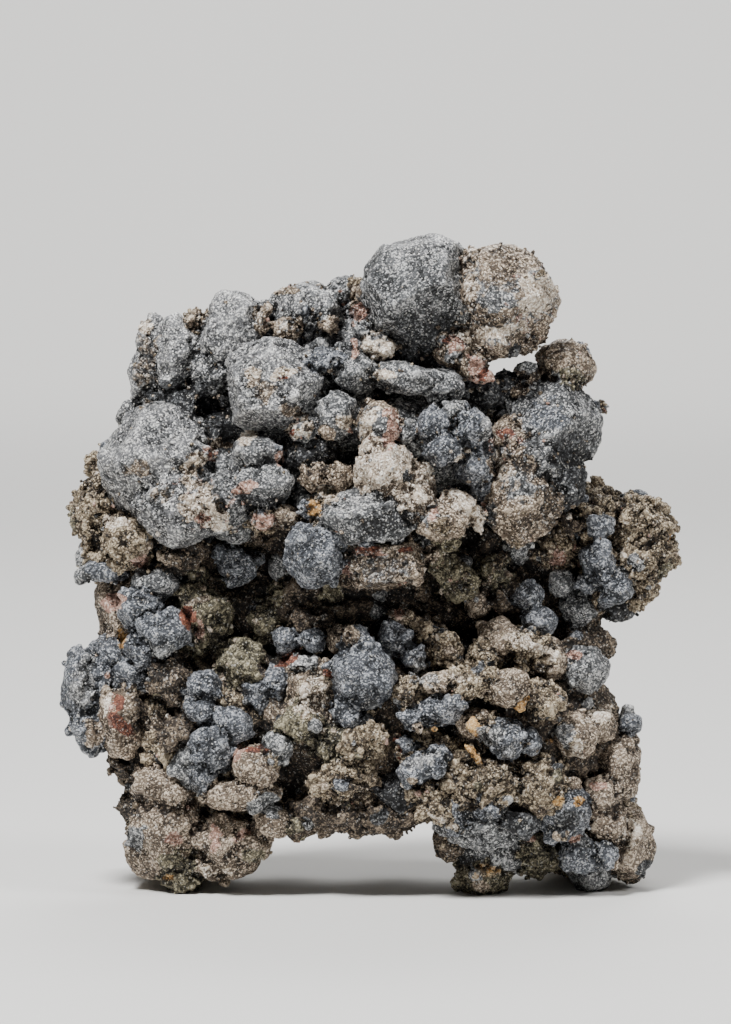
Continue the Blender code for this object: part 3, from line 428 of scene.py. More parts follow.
LEDGES = (
    Lump(4.5, -12.0, 22.5, 1.9, 2.8, 1.6, 20, coat=TAN),
    Lump(7.5, -12.8, 23.8, 2.2, 3.0, 1.5, 8, coat=BUFF),
    Lump(11.4, -13.0, 24.1, 3.1, 3.2, 1.9, -4, coat=TAN),
    Lump(15.5, -13.7, 23.2, 2.7, 3.3, 2.1, -12, coat=BUFF),
    Lump(18.9, -12.6, 21.8, 2.3, 3.2, 1.5, -24, coat=TAN),
    Lump(14.4, -7.8, 28.0, 2.5, 3.2, 2.7, 0, 27, coat=BUFF),
    Lump(17.4, -7.8, 26.8, 2.9, 3.4, 2.4, -20, 9, coat=TAN),
    Lump(12.6, -9.0, 26.0, 2.1, 2.6, 1.8, coat=TAN),
    Lump(20.2, -7.2, 25.8, 2.2, 3.0, 2.4, coat=BUFF),
    Lump(8.6, -11.0, 15.0, 5.6, 4.0, 3.8, coat=TAN),
    Lump(8.0, -12.8, 11.8, 4.2, 3.6, 3.0, coat=TAN),
    Lump(13.2, -13.2, 13.0, 4.2, 3.7, 2.9, coat=TAN),
    Lump(18.2, -12.6, 12.8, 3.4, 3.6, 3.2, coat=TAN),
    Lump(12.4, -10.6, 8.4, 5.4, 4.6, 3.2, coat=GREY),
    Lump(22.4, -9.8, 17.6, 2.7, 3.2, 2.6, coat=BUFF),
    Lump(25.2, -6.4, 18.4, 2.5, 3.2, 1.9, coat=BUFF),
    Lump(12.4, -12.8, 19.0, 3.6, 2.6, 2.2, -12, coat=BUFF),
    Lump(11.7, -15.4, 19.2, 1.0, 1.1, 1.25, coat=GOLD),
    Lump(11.6, -15.3, 16.2, 1.7, 0.8, 0.7, -49, coat=GOLD),
    Lump(16.5, -15.2, 21.4, 0.9, 0.9, 0.8, coat=GOLD),
    Lump(19.6, -12.6, 17.3, 0.5, 0.8, 0.6, coat=GOLD),
    Lump(5.3, -15.8, 19.3, 0.9, 0.8, 0.9, coat=BUFF),
    Lump(7.2, -15.4, 19.1, 0.6, 0.6, 0.5, coat=GOLD),
    Lump(3.0, -12.8, 17.8, 0.7, 0.8, 0.6, coat=RUST),
    Lump(3.6, -13.0, 15.8, 0.7, 0.8, 0.6, coat=RUST),
    Lump(4.2, -13.0, 17.2, 1.2, 1.2, 1.1, coat=SLATE),
    Lump(9.4, -15.8, 10.4, 1.2, 1.2, 1.1, coat=SLATE),
    Lump(13.0, -15.4, 10.3, 1.5, 1.4, 1.3, coat=SLATE),
    Lump(9.8, -14.2, 8.2, 1.6, 1.7, 1.4, coat=SLATE),
    Lump(21.0, -14.0, 11.2, 0.7, 0.7, 0.6, coat=GOLD),
    Lump(23.2, -13.6, 10.9, 0.6, 0.6, 0.5, coat=GOLD),
)
CAVITY_LUMPS = (
    Lump(17.6, -4.8, 32.6, 1.7, 1.9, 1.9, coat=SLATE),
    Lump(18.9, -5.8, 29.9, 1.9, 2.0, 1.8, coat=SLATE),
    Lump(13.6, -2.0, 35.0, 2.2, 2.6, 2.4, coat=OLIVE),
    Lump(16.4, -1.8, 38.0, 1.8, 2.4, 1.8, coat=GREY),
    Lump(12.0, -3.4, 31.6, 1.7, 2.2, 1.6, coat=BUFF),
    Lump(14.8, -4.0, 31.6, 1.5, 1.9, 1.4, coat=BROWN),
    Lump(21.4, -3.4, 34.0, 1.6, 2.0, 1.8, coat=GREY),
    Lump(5.0, -3.4, 33.2, 1.5, 1.9, 1.6, coat=BROWN),
    Lump(1.2, -3.6, 33.0, 1.3, 1.7, 1.3, coat=GREY),
    Lump(-4.2, -3.6, 32.8, 1.5, 1.9, 1.4, coat=OLIVE),
    Lump(-9.6, -2.6, 35.6, 1.6, 2.0, 1.8, coat=GREY),
    Lump(-17.4, -2.4, 33.4, 1.5, 1.9, 1.5, coat=BROWN),
    Lump(-13.2, -2.0, 39.0, 1.6, 2.0, 1.4, coat=BUFF),
)
RIGHT_FOOT = (
    Lump(27.4, -3.0, 13.4, 3.0, 6.2, 4.3, coat=BUFF),
    Lump(27.6, -2.2, 16.2, 2.4, 4.2, 2.0, coat=BUFF),
    Lump(25.4, -8.6, 10.8, 2.2, 2.8, 2.4, coat=BUFF),
    Lump(25.8, -7.2, 7.8, 3.0, 3.6, 2.8, coat=BUFF),
    Lump(28.7, -3.2, 5.0, 3.1, 5.6, 4.1, coat=BUFF),
    Lump(24.6, -3.8, 2.0, 2.5, 4.8, 2.7, coat=GREY),
    Lump(24.0, 6.8, 7.0, 6.0, 7.0, 7.6, coat=TAN),
    Lump(25.4, 5.0, 13.0, 4.0, 6.4, 5.0, coat=TAN),
    Lump(12.6, -6.6, 2.2, 2.8, 4.4, 2.9, coat=OLIVE),
    Lump(13.8, -6.4, 4.6, 4.4, 4.6, 3.0, coat=GREY),
    Lump(9.2, -7.8, 5.8, 2.2, 3.4, 2.2, coat=BROWN),
    Lump(18.4, -5.8, 4.8, 3.8, 4.6, 2.8, coat=OLIVE),
)
BACK = (
    Lump(-19.6, 9.4, 11.0, 6.4, 4.6, 5.0, 12, coat=TAN),
    Lump(-23.0, 7.8, 17.8, 3.6, 4.0, 3.4, coat=BUFF),
    Lump(-9.2, 10.8, 13.0, 4.8, 4.4, 4.2, -20, coat=TAN),
    Lump(-4.8, 11.8, 19.2, 5.6, 3.6, 3.2, 25, coat=GREY),
    Lump(3.6, 11.0, 13.2, 5.0, 4.2, 3.8, 10, coat=TAN),
    Lump(9.8, 11.8, 18.0, 3.8, 3.8, 5.2, -30, coat=OLIVE),
    Lump(17.4, 9.8, 12.2, 6.0, 4.4, 4.4, -15, coat=TAN),
    Lump(21.2, 8.2, 18.2, 3.4, 4.0, 3.0, coat=BUFF),
    Lump(-24.6, 5.4, 24.0, 4.4, 4.8, 4.2, 20, coat=TAN),
    Lump(-17.8, 10.2, 27.4, 3.8, 3.8, 5.6, 25, coat=BROWN),
    Lump(-9.8, 12.0, 27.4, 4.4, 3.6, 3.2, -10, coat=TAN),
    Lump(-2.2, 12.4, 26.2, 3.2, 3.4, 5.2, 15, coat=TAN),
    Lump(4.6, 12.0, 23.6, 4.0, 3.2, 2.6, -12, coat=BUFF),
    Lump(4.2, 12.2, 30.0, 4.4, 3.4, 2.6, -18, coat=TAN),
    Lump(13.8, 10.4, 25.4, 4.6, 4.2, 5.0, 30, coat=GREY),
    Lump(19.8, 7.0, 26.0, 3.8, 4.6, 3.6, coat=TAN),
    Lump(18.2, 8.0, 33.0, 4.2, 4.4, 3.2, 20, coat=OLIVE),
    Lump(-24.8, 5.0, 33.4, 3.8, 4.6, 4.2, coat=TAN),
    Lump(-22.8, 5.8, 40.2, 4.6, 4.8, 4.4, -25, coat=BUFF),
    Lump(-15.4, 10.4, 35.6, 5.6, 4.2, 3.0, 15, coat=TAN),
    Lump(-7.6, 12.2, 35.8, 3.6, 3.6, 4.6, -20, coat=BROWN),
    Lump(0.6, 12.8, 38.4, 4.6, 3.6, 3.6, 10, coat=TAN),
    Lump(7.6, 11.4, 41.8, 4.4, 3.8, 3.0, -35, coat=TAN),
    Lump(14.8, 8.8, 40.0, 5.4, 4.4, 4.2, 12, coat=BUFF),
    Lump(-13.4, 10.6, 43.4, 4.4, 4.2, 4.6, 25, coat=TAN),
    Lump(-20.0, 7.8, 47.0, 4.8, 4.4, 3.2, 10, coat=GREY),
    Lump(-5.4, 11.6, 44.6, 4.2, 3.6, 3.2, -10, coat=TAN),
    Lump(-7.6, 11.2, 51.4, 4.4, 3.6, 3.0, 18, coat=OLIVE),
    Lump(2.8, 11.2, 48.8, 5.2, 3.8, 3.4, -15, coat=TAN),
    Lump(10.4, 9.4, 47.6, 3.6, 4.2, 3.8, coat=BUFF),
    Lump(-8.0, 7.8, 19.6, 16.0, 6.8, 8.6, 6, coat=TAN),
    Lump(9.0, 7.6, 22.0, 13.0, 6.6, 9.0, -10, coat=BROWN),
    Lump(-9.6, 8.2, 38.4, 14.0, 6.4, 9.6, 12, coat=BUFF),
    Lump(5.6, 8.2, 40.0, 12.6, 6.4, 8.4, -14, coat=OLIVE),
    Lump(-3.0, 8.4, 29.4, 15.0, 6.2, 6.0, coat=BROWN),
)

# Crystals that sit apart in the rock, each list one piece
APART = {
    "acanthite_knob_left": (
        Lump(-31.0, -2.0, 21.8, 3.2, 4.6, 5.0, coat=SLATE),
        Lump(-30.3, -3.8, 18.3, 3.1, 3.4, 3.4, coat=SLATE),
        Lump(-29.6, -4.4, 23.4, 2.6, 2.6, 2.8, coat=SLATE),
    ),
    "acanthite_lumps_left": (
        Lump(-25.2, -6.4, 31.2, 2.7, 2.8, 2.5, coat=SLATE),
        Lump(-22.6, -8.2, 29.0, 3.2, 2.8, 2.5, coat=SLATE),
        Lump(-24.6, -7.0, 27.2, 2.6, 2.6, 1.9, coat=SLATE),
    ),
    "acanthite_bar_left": (
        Lump(-29.0, -4.2, 35.3, 2.9, 1.8, 1.3, 0, 0, coat=SLATE),
    ),
    "acanthite_crystal_cavity": (
        Lump(-14.5, -4.4, 36.0, 2.5, 2.6, 2.4, 0, 30, coat=SLATE),
    ),
    "acanthite_cluster_left": (
        Lump(-18.2, -10.0, 23.0, 2.1, 2.3, 2.1, coat=SLATE),
        Lump(-18.6, -10.4, 20.8, 1.9, 2.2, 1.8, coat=SLATE),
        Lump(-15.2, -11.2, 19.0, 2.4, 2.3, 2.1, coat=SLATE),
        Lump(-17.2, -11.6, 16.6, 2.7, 2.4, 2.5, coat=SLATE),
        Lump(-18.3, -11.0, 13.6, 1.9, 2.2, 2.4, 10, coat=SLATE),
    ),
    "acanthite_pair_olive": (
        Lump(-10.2, -8.6, 23.1, 2.2, 2.3, 2.1, coat=SLATE),
        Lump(-12.2, -9.2, 22.4, 1.9, 2.1, 1.7, coat=SLATE),
    ),
    "acanthite_pair_centre": (
        Lump(-9.0, -7.8, 28.0, 1.7, 1.9, 1.6, coat=SLATE),
        Lump(-6.2, -9.4, 28.2, 1.6, 1.9, 1.5, coat=SLATE),
    ),
    "acanthite_kidney": (
        Lump(-0.9, -12.2, 24.4, 3.7, 3.6, 3.7, coat=SLATE),
        Lump(-2.6, -12.8, 20.9, 2.0, 2.2, 2.2, coat=SLATE),
        Lump(-1.6, -10.8, 28.0, 1.8, 2.2, 1.9, coat=SLATE),
    ),
    "acanthite_pair_right": (
        Lump(2.9, -8.8, 28.3, 2.1, 2.2, 1.9, coat=SLATE),
        Lump(4.8, -9.2, 26.5, 1.6, 1.8, 1.6, coat=SLATE),
    ),
    "acanthite_plate": (
        Lump(7.9, -14.0, 21.0, 2.7, 2.0, 2.0, 15, coat=SLATE),
        Lump(5.0, -14.2, 20.2, 1.8, 1.8, 1.8, coat=SLATE),
    ),
    "acanthite_crescent": (
        Lump(5.9, -14.6, 14.7, 3.0, 2.4, 1.8, 20, coat=SLATE),
        Lump(7.6, -14.6, 16.0, 1.6, 1.8, 1.5, coat=SLATE),
    ),
    "acanthite_ring_lump": (
        Lump(14.9, -14.4, 17.8, 2.6, 2.2, 2.4, coat=SLATE),
        Lump(17.6, -13.6, 17.4, 1.7, 2.0, 1.7, coat=SLATE),
    ),
    "acanthite_black_lump": (
        Lump(16.3, -13.6, 8.7, 2.6, 2.2, 1.5, -15, 14, coat=BLACK),
    ),
    "acanthite_dome_low": (
        Lump(21.4, -11.6, 9.6, 3.0, 3.0, 3.4, coat=SLATE),
    ),
    "acanthite_foot_right": (
        Lump(23.0, -9.6, 4.4, 2.7, 2.6, 2.3, 0, 9, coat=SLATE),
        Lump(26.0, -9.8, 4.6, 1.6, 2.0, 1.8, coat=SLATE),
    ),
    "acanthite_arm_lumps": (
        Lump(25.3, -5.0, 36.5, 2.3, 2.2, 2.2, coat=SLATE),
        Lump(27.4, -5.2, 33.7, 2.0, 2.0, 2.0, coat=SLATE),
        Lump(24.2, -4.6, 34.2, 1.5, 1.8, 1.4, coat=SLATE),
    ),
    "acanthite_arm_top": (
        Lump(25.6, -4.8, 40.3, 1.7, 1.9, 1.6, 0, 17, coat=SLATE),
    ),
    "acanthite_granular": (
        Lump(23.3, -6.4, 24.6, 3.0, 3.2, 2.9, coat=GREY),
    ),
    "acanthite_edge": (
        Lump(28.7, -3.4, 18.2, 1.6, 2.4, 1.5, 0, 19, coat=SLATE),
    ),
    "acanthite_back_left": (
        Lump(-14.0, 13.4, 20.6, 3.6, 3.2, 3.2, 10, coat=SLATE),
        Lump(-17.6, 12.2, 18.6, 2.6, 2.6, 2.2, coat=SLATE),
    ),
    "acanthite_back_right": (
        Lump(8.8, 14.2, 35.2, 3.6, 3.2, 3.2, -12, coat=SLATE),
        Lump(12.2, 13.0, 33.0, 2.6, 2.4, 2.4, coat=SLATE),
    ),
}

# Hollows, as the rounded spaces that are empty
ROCK_HOLLOWS = (
    Lump(-13.6, -9.0, 35.4, 5.0, 8.2, 5.2),
    Lump(-2.0, -10.0, 32.4, 9.0, 5.6, 2.2),
    Lump(9.6, -9.0, 34.6, 5.4, 9.4, 5.6),
    Lump(17.4, -8.0, 34.4, 4.2, 7.0, 4.0),
    Lump(11.0, -13.0, 26.2, 1.5, 3.2, 1.0),
    Lump(-24.2, -11.4, 19.3, 2.2, 4.6, 2.5),
    Lump(18.4, -15.4, 19.4, 1.4, 2.8, 1.1),
    Lump(-0.5, 0.0, 1.0, 9.4, 40.0, 4.6),
    Lump(-12.6, 16.0, 31.2, 3.4, 4.0, 1.6, 12),
    Lump(-2.6, 16.2, 32.2, 1.8, 3.6, 1.4),
    Lump(9.2, 15.6, 28.6, 2.4, 3.6, 1.3, -20),
    Lump(-1.0, 15.4, 15.6, 1.4, 3.6, 2.2, 15),
    Lump(-1.2, 16.0, 49.0, 1.5, 3.4, 2.4),
)
HEAP_HOLLOWS = (
    Lump(-17.6, -9.4, 53.4, 2.4, 7.0, 2.0),
    Lump(-16.0, -14.0, 43.2, 1.0, 2.4, 1.0),
    Lump(7.0, -13.4, 45.8, 2.2, 3.4, 1.0, -30),
    Lump(15.0, 0.0, 57.9, 1.7, 12.0, 0.8),
)


# How far noise frays a patch, where its rim begins and ends as shares of its half size, and how much
# wider and thinner the pink halo of a cream patch is
PATCH_FRAY = 0.28
PATCH_RIM = (-1.25, -0.75)
HALO_GROWTH = 1.25
HALO_STRENGTH = 0.55


@dataclass(frozen=True)
class Patch:
    """A part of the front that has a coat of its own, as a tilted ellipse in millimetres."""

    coat: Coat
    x: float
    z: float
    rx: float
    rz: float
    tilt: float = 0.0
    strength: float = 1.0

    def share(self, points: np.ndarray, ragged: np.ndarray) -> np.ndarray:
        """How fully the patch covers each place.

        Args:
            points: places in millimetres.
            ragged: noise that frays the rim.

        Returns:
            Shares from 0 to 1.
        """
        angle = math.radians(self.tilt)
        across = points[:, 0] - self.x
        up = points[:, 2] - self.z
        along = across * math.cos(angle) + up * math.sin(angle)
        aside = up * math.cos(angle) - across * math.sin(angle)
        away = np.hypot(along / self.rx, aside / self.rz)
        return self.strength * rise(-(away + PATCH_FRAY * ragged), *PATCH_RIM)

    def halo(self) -> "Patch":
        """The thinner pink rim that a cream crust has."""
        return replace(
            self,
            coat=SALMON,
            rx=self.rx * HALO_GROWTH,
            rz=self.rz * HALO_GROWTH,
            strength=HALO_STRENGTH * self.strength,
        )


# Coats that cross the lumps of the front, each laid over those before it
# Black patches are partly painted shade in creases and on lower faces
# Pale patches are partly painted light on the tops of lumps
PATCHES = (
    # crown
    Patch(GREY, 13.8, 66.3, 3.3, 2.0, 0, 0.55),
    Patch(BLACK, 13.8, 65.6, 2.4, 1.0, 0, 0.45),
    Patch(BUFF, 14.2, 69.0, 3.4, 1.2),
    Patch(CREAM, 11.0, 67.2, 0.9, 3.4),
    Patch(CREAM, 18.6, 66.2, 2.0, 2.6, -50),
    Patch(CREAM, 12.0, 61.8, 4.2, 1.2, 10),
    Patch(SALMON, 9.4, 60.8, 1.6, 0.8, -30, 0.9),
    Patch(RUST, 8.4, 61.2, 0.8, 0.35, -20),
    Patch(SALMON, 11.8, 58.4, 0.9, 1.2, -20, 0.8),
    Patch(RUST, 12.6, 57.4, 0.4, 0.9, -20, 0.8),
    Patch(BROWN, 13.6, 63.4, 1.6, 0.8),
    Patch(BLACK, 5.4, 62.6, 5.0, 1.8, 8, 0.6),
    Patch(PALE, 6.8, 71.6, 4.0, 1.0, 15, 0.7),
    # top left
    Patch(CREAM, -12.4, 63.6, 0.7, 0.8, 0, 0.6),
    Patch(CREAM, -9.2, 62.6, 0.8, 0.6, 0, 0.6),
    Patch(PALE, -7.0, 65.6, 3.4, 1.2, 8, 0.7),
    Patch(BUFF, -9.4, 66.4, 1.6, 0.5, 10, 0.8),
    Patch(BUFF, -24.6, 58.4, 1.3, 5.2, 0, 0.5),
    Patch(CREAM, -24.6, 62.4, 0.9, 0.8, 0, 0.7),
    Patch(BUFF, -19.3, 62.9, 1.2, 0.9),
    Patch(BLACK, -21.2, 55.8, 2.6, 1.2, 12),
    Patch(BUFF, -1.7, 66.4, 0.8, 0.9),
    # facetted block and its neighbours
    Patch(CREAM, -12.7, 57.4, 0.8, 1.2),
    Patch(BUFF, -11.4, 55.8, 1.0, 1.8, -30, 0.6),
    Patch(CREAM, -9.4, 57.7, 1.4, 0.7, 20, 0.9),
    Patch(RUST, -9.3, 57.3, 0.8, 0.16, 10),
    Patch(BUFF, -8.2, 53.4, 1.6, 0.8, -20, 0.6),
    Patch(CREAM, -2.7, 52.6, 0.9, 0.8),
    Patch(CREAM, -8.4, 51.4, 0.8, 0.8),
    Patch(RUST, -8.4, 51.3, 0.35, 0.35),
    Patch(CREAM, -6.8, 51.8, 0.8, 0.8),
    Patch(BROWN, -6.8, 51.8, 0.4, 0.4),
    Patch(SALMON, -11.6, 41.6, 1.4, 0.9, 0, 0.7),
    Patch(CREAM, 1.4, 57.6, 1.2, 0.5),
    Patch(SALMON, -1.6, 60.2, 0.4, 1.0),
    Patch(SALMON, -1.1, 63.9, 0.9, 1.0, -40),
    Patch(CREAM, 0.2, 51.6, 1.4, 2.4),
    Patch(SALMON, 2.3, 51.6, 1.0, 2.2),
    Patch(GREY, 1.1, 52.0, 0.8, 1.0),
    Patch(PALE, 12.9, 51.6, 0.6, 1.6),
    # left dome
    Patch(CREAM, -13.4, 50.6, 1.2, 0.6, 10, 0.7),
    Patch(BUFF, -22.4, 44.4, 1.6, 1.0, 30, 0.5),
    Patch(PALE, -22.6, 51.0, 4.4, 2.2, 0, 0.8),
    Patch(BUFF, -25.2, 47.2, 1.8, 1.0, 20, 0.6),
    Patch(SALMON, -17.6, 48.6, 0.9, 0.8),
    Patch(RUST, -17.6, 48.6, 0.5, 0.5),
    Patch(CREAM, -19.2, 47.6, 2.0, 1.0, 35),
    Patch(CREAM, -16.2, 49.6, 0.9, 0.6),
    Patch(CREAM, -18.3, 43.0, 2.7, 1.9, -20),
    Patch(CREAM, -19.8, 45.6, 0.9, 1.1, 30, 0.7),
    Patch(CREAM, -16.6, 41.0, 1.7, 0.7, -15),
    Patch(SALMON, -18.4, 41.8, 0.8, 0.4),
    Patch(SALMON, -13.4, 45.4, 1.2, 0.6, 25),
    Patch(SALMON, -9.8, 48.4, 0.4, 0.9),
    Patch(BLACK, -11.2, 43.8, 2.2, 0.9, 5),
    # cream cone, loaf and wedge
    Patch(CREAM, -4.6, 44.6, 1.4, 0.8, -20, 0.8),
    Patch(CREAM, 10.0, 48.6, 0.8, 0.6, 0, 0.6),
    Patch(SALMON, 13.4, 49.6, 0.5, 0.9, 0, 0.7),
    Patch(CREAM, 3.6, 44.6, 3.2, 1.0, -30),
    Patch(SALMON, 7.1, 42.5, 0.5, 0.9),
    Patch(TAN, 8.0, 41.4, 1.2, 1.0),
    Patch(PALE, -1.6, 43.4, 2.4, 1.0, 20, 0.7),
    Patch(BLACK, 2.0, 41.6, 2.8, 1.4, 5, 0.6),
    Patch(BROWN, 2.0, 36.4, 4.0, 2.0, 0, 0.5),
    Patch(GOLD, -6.0, 43.0, 0.8, 0.8),
    Patch(RUST, -0.4, 38.6, 1.4, 0.35, -4),
    Patch(SALMON, 0.2, 38.2, 1.6, 0.25, -5),
    Patch(RUST, 4.0, 38.6, 0.8, 0.35, 8),
    Patch(SALMON, -2.2, 36.4, 0.5, 2.0, -22),
    Patch(CREAM, -1.7, 37.0, 0.4, 1.0, -10),
    # right lumps
    Patch(RUST, 15.0, 50.9, 1.0, 0.6),
    Patch(SALMON, 15.8, 50.2, 1.3, 0.5),
    Patch(BUFF, 15.6, 47.6, 2.4, 2.6, 0, 0.9),
    Patch(CREAM, 14.8, 47.6, 0.9, 1.6),
    Patch(CREAM, 16.4, 45.6, 1.9, 2.2, 20, 0.4),
    Patch(BROWN, 20.2, 43.0, 1.2, 3.4, 0, 0.8),
    Patch(BLACK, 13.2, 41.4, 0.8, 2.4, 0, 0.6),
    Patch(BLACK, 22.6, 48.6, 2.4, 2.6, 0, 0.85),
    Patch(BLACK, 17.2, 45.0, 1.8, 0.5, 10, 0.5),
    Patch(SLATE, 19.6, 52.8, 2.2, 1.6, 0, 0.7),
    Patch(OLIVE, 22.4, 56.8, 1.6, 1.2, 0, 0.7),
    # left wall
    Patch(SALMON, -28.4, 20.2, 0.6, 2.6, 8),
    Patch(RUST, -27.2, 18.6, 0.8, 1.8, 40),
    Patch(RUST, -27.6, 21.2, 0.6, 0.9),
    Patch(CREAM, -28.8, 21.4, 0.35, 1.6, -10, 0.8),
    Patch(BROWN, -25.4, 20.2, 1.0, 2.0, 0, 0.8),
    Patch(SALMON, -28.2, 32.0, 1.4, 1.0, 15),
    Patch(GOLD, -27.4, 28.2, 0.6, 1.2, 15, 0.6),
    Patch(RUST, -19.9, 30.8, 0.9, 1.3, 0, 0.8),
    Patch(SALMON, -18.6, 29.2, 0.6, 1.2, -15),
    Patch(CREAM, -19.0, 32.4, 1.4, 0.3, 15),
    Patch(SALMON, -25.4, 36.6, 1.0, 0.7),
    Patch(CREAM, -28.0, 40.9, 1.4, 0.7),
    # left foot
    Patch(OLIVE, -21.4, 3.8, 1.8, 1.2, 0, 0.7),
    Patch(GOLD, -22.0, 1.8, 0.7, 0.35),
    Patch(SALMON, -21.6, 6.4, 1.0, 0.8, 0, 0.7),
    Patch(SALMON, -17.0, 6.4, 0.8, 1.8, -10, 0.7),
    Patch(SALMON, -14.2, 6.8, 1.4, 0.5, 25, 0.6),
    Patch(CREAM, -16.6, 2.6, 1.8, 0.6, 0, 0.8),
    Patch(GREY, -25.6, 6.4, 1.4, 1.8, 0, 0.8),
    Patch(OLIVE, -12.8, 4.6, 1.4, 0.7),
    Patch(RUST, -12.4, 16.5, 1.8, 0.3, 0, 0.9),
    Patch(SALMON, -14.4, 15.9, 0.5, 1.1, -25),
    Patch(GREY, -11.0, 10.4, 2.0, 1.4, 0, 0.8),
    # centre
    Patch(RUST, -8.8, 26.1, 1.4, 0.5, 35),
    Patch(RUST, -4.5, 24.8, 0.6, 0.5),
    Patch(RUST, -7.0, 23.7, 0.9, 0.3, -10),
    Patch(CREAM, -6.4, 22.4, 1.9, 1.8, 0, 0.8),
    Patch(PALE, -31.8, 22.6, 1.7, 2.6, 0, 0.7),
    Patch(PALE, 6.0, 15.5, 2.2, 0.8, 20, 0.6),
    Patch(SLATE, -3.2, 12.8, 0.9, 0.8),
    Patch(SALMON, 3.2, 31.0, 0.7, 0.5),
    # ledges
    Patch(CREAM, 16.6, 28.2, 1.8, 0.9, -20, 0.8),
    Patch(SALMON, 22.6, 26.4, 0.7, 0.5),
    Patch(CREAM, 19.4, 27.0, 1.4, 0.8, -35, 0.7),
    Patch(GREY, 6.0, 24.4, 1.8, 0.8, 0, 0.6),
    Patch(GREY, 13.4, 18.4, 1.6, 1.2, 0, 0.7),
    Patch(GREY, 21.4, 18.0, 1.4, 1.5, 0, 0.7),
    Patch(CREAM, 10.2, 24.6, 1.6, 0.6, 0, 0.6),
    Patch(CREAM, 22.9, 16.4, 0.6, 1.2),
    Patch(CREAM, 25.2, 19.8, 1.6, 0.7, 10, 0.8),
    Patch(BLACK, 21.6, 8.8, 1.6, 1.4, 30, 0.8),
    Patch(GOLD, 20.8, 11.0, 0.6, 0.5),
    Patch(GOLD, 23.0, 10.8, 0.5, 0.5),
    Patch(SALMON, 17.8, 6.2, 0.7, 0.4),
    Patch(SALMON, 22.6, 6.5, 0.8, 0.4, 20),
    Patch(CREAM, 8.0, 8.9, 2.0, 0.4, -30, 0.8),
    Patch(GOLD, 13.0, 2.7, 1.4, 0.9, 0, 0.5),
    Patch(CREAM, 28.9, 6.6, 1.0, 1.8, -12, 0.7),
    Patch(BLACK, 30.6, 2.4, 1.2, 0.9, 50),
    Patch(SALMON, 25.2, 12.2, 1.0, 0.6, 0, 0.7),
    # right arm
    Patch(CREAM, 27.6, 37.6, 0.9, 1.2, 0, 0.6),
    Patch(SALMON, 20.9, 37.0, 0.8, 1.2),
    Patch(GOLD, 33.4, 38.8, 0.5, 0.5, 0, 0.6),
)


class Grain(Enum):
    """The kinds of relief that a texture can give."""

    CLOUDS = "CLOUDS"
    CELLS = "VORONOI"


@dataclass(frozen=True)
class Relief:
    """One layer of relief: its kind, the size of its bumps and its height, in millimetres.

    It shows only as far as its group of the skin's points takes part. Without a kind it has no bumps
    of its own and moves its group by the height alone.
    """

    kind: Grain | None
    size: float
    height: float
    hard: bool = False
    group: str = ""


# The coarse unevenness is the one that the solids have too
RELIEFS = (
    Relief(Grain.CLOUDS, 5.5, 1.2, group="uneven"),
    Relief(Grain.CLOUDS, 3.2, 0.9, group="uneven"),
    Relief(None, 0.0, -0.6, group="seam"),
    Relief(Grain.CLOUDS, 2.6, 0.55, hard=True, group="bare"),
    Relief(Grain.CLOUDS, 1.2, 0.30, group="bare"),
    Relief(Grain.CLOUDS, 0.6, 0.22, group="bare"),
    Relief(Grain.CLOUDS, 1.7, -0.6, hard=True, group="rough"),
    Relief(Grain.CELLS, 1.2, -0.8, group="cobbled"),
    Relief(Grain.CLOUDS, 0.8, -0.35, hard=True, group="rough"),
    Relief(Grain.CLOUDS, 0.42, 0.26, group="rough"),
)

# The value of a relief texture that leaves the skin where it is, for textures with ridges and the rest
RIDGED_LEVEL = 0.35
EVEN_LEVEL = 0.5


def linear(channel: float) -> float:
    """Turns one sRGB channel into its linear value.

    Args:
        channel: a value from 0 to 1.

    Returns:
        The linear value.
    """
    if channel <= 0.04045:
        return channel / 12.92
    return ((channel + 0.055) / 1.055) ** 2.4


def colour(code: str) -> tuple[float, float, float, float]:
    """Turns an sRGB hex code into a linear colour.

    Args:
        code: six hex digits after a number sign.

    Returns:
        Red, green, blue and an alpha of one.
    """
    channels = [int(code[start:start + 2], 16) / 255.0 for start in (1, 3, 5)]
    return (*(linear(channel) for channel in channels), 1.0)


def add_node(
    tree: bpy.types.NodeTree, kind: str, inputs: dict | None = None, **settings: object
) -> bpy.types.Node:
    """Adds one node, sets its properties, and fills or links its inputs.

    Args:
        tree: the material's node tree.
        kind: the node's type.
        inputs: values or output sockets, by input name or number.
        **settings: the node's own properties.

    Returns:
        The new node.
    """
    node = tree.nodes.new(kind)
    for name, value in settings.items():
        setattr(node, name, value)
    for key, value in (inputs or {}).items():
        if isinstance(value, bpy.types.NodeSocket):
            tree.links.new(value, node.inputs[key])
        else:
            node.inputs[key].default_value = value
    return node


def deselect() -> None:
    """Leaves nothing selected."""
    bpy.ops.object.select_all(action="DESELECT")


def activate(item: bpy.types.Object) -> None:
    """Selects one object alone and makes it the active one."""
    deselect()
    item.select_set(True)
    bpy.context.view_layer.objects.active = item


def vertex_array(mesh: bpy.types.Mesh, name: str) -> np.ndarray:
    """Reads a three-part value of every vertex, such as its place or its normal.

    Args:
        mesh: the mesh.
        name: the value's name.

    Returns:
        One row for each vertex.
    """
    flat = np.empty(len(mesh.vertices) * 3, dtype=np.float32)
    mesh.vertices.foreach_get(name, flat)
    return flat.reshape(-1, 3).astype(np.float64)


# The lengths of the waves in smooth noise, as shares of the usual one, and their height
WAVE_LENGTHS = (0.7, 1.8)
WAVE_HEIGHT = 1.3


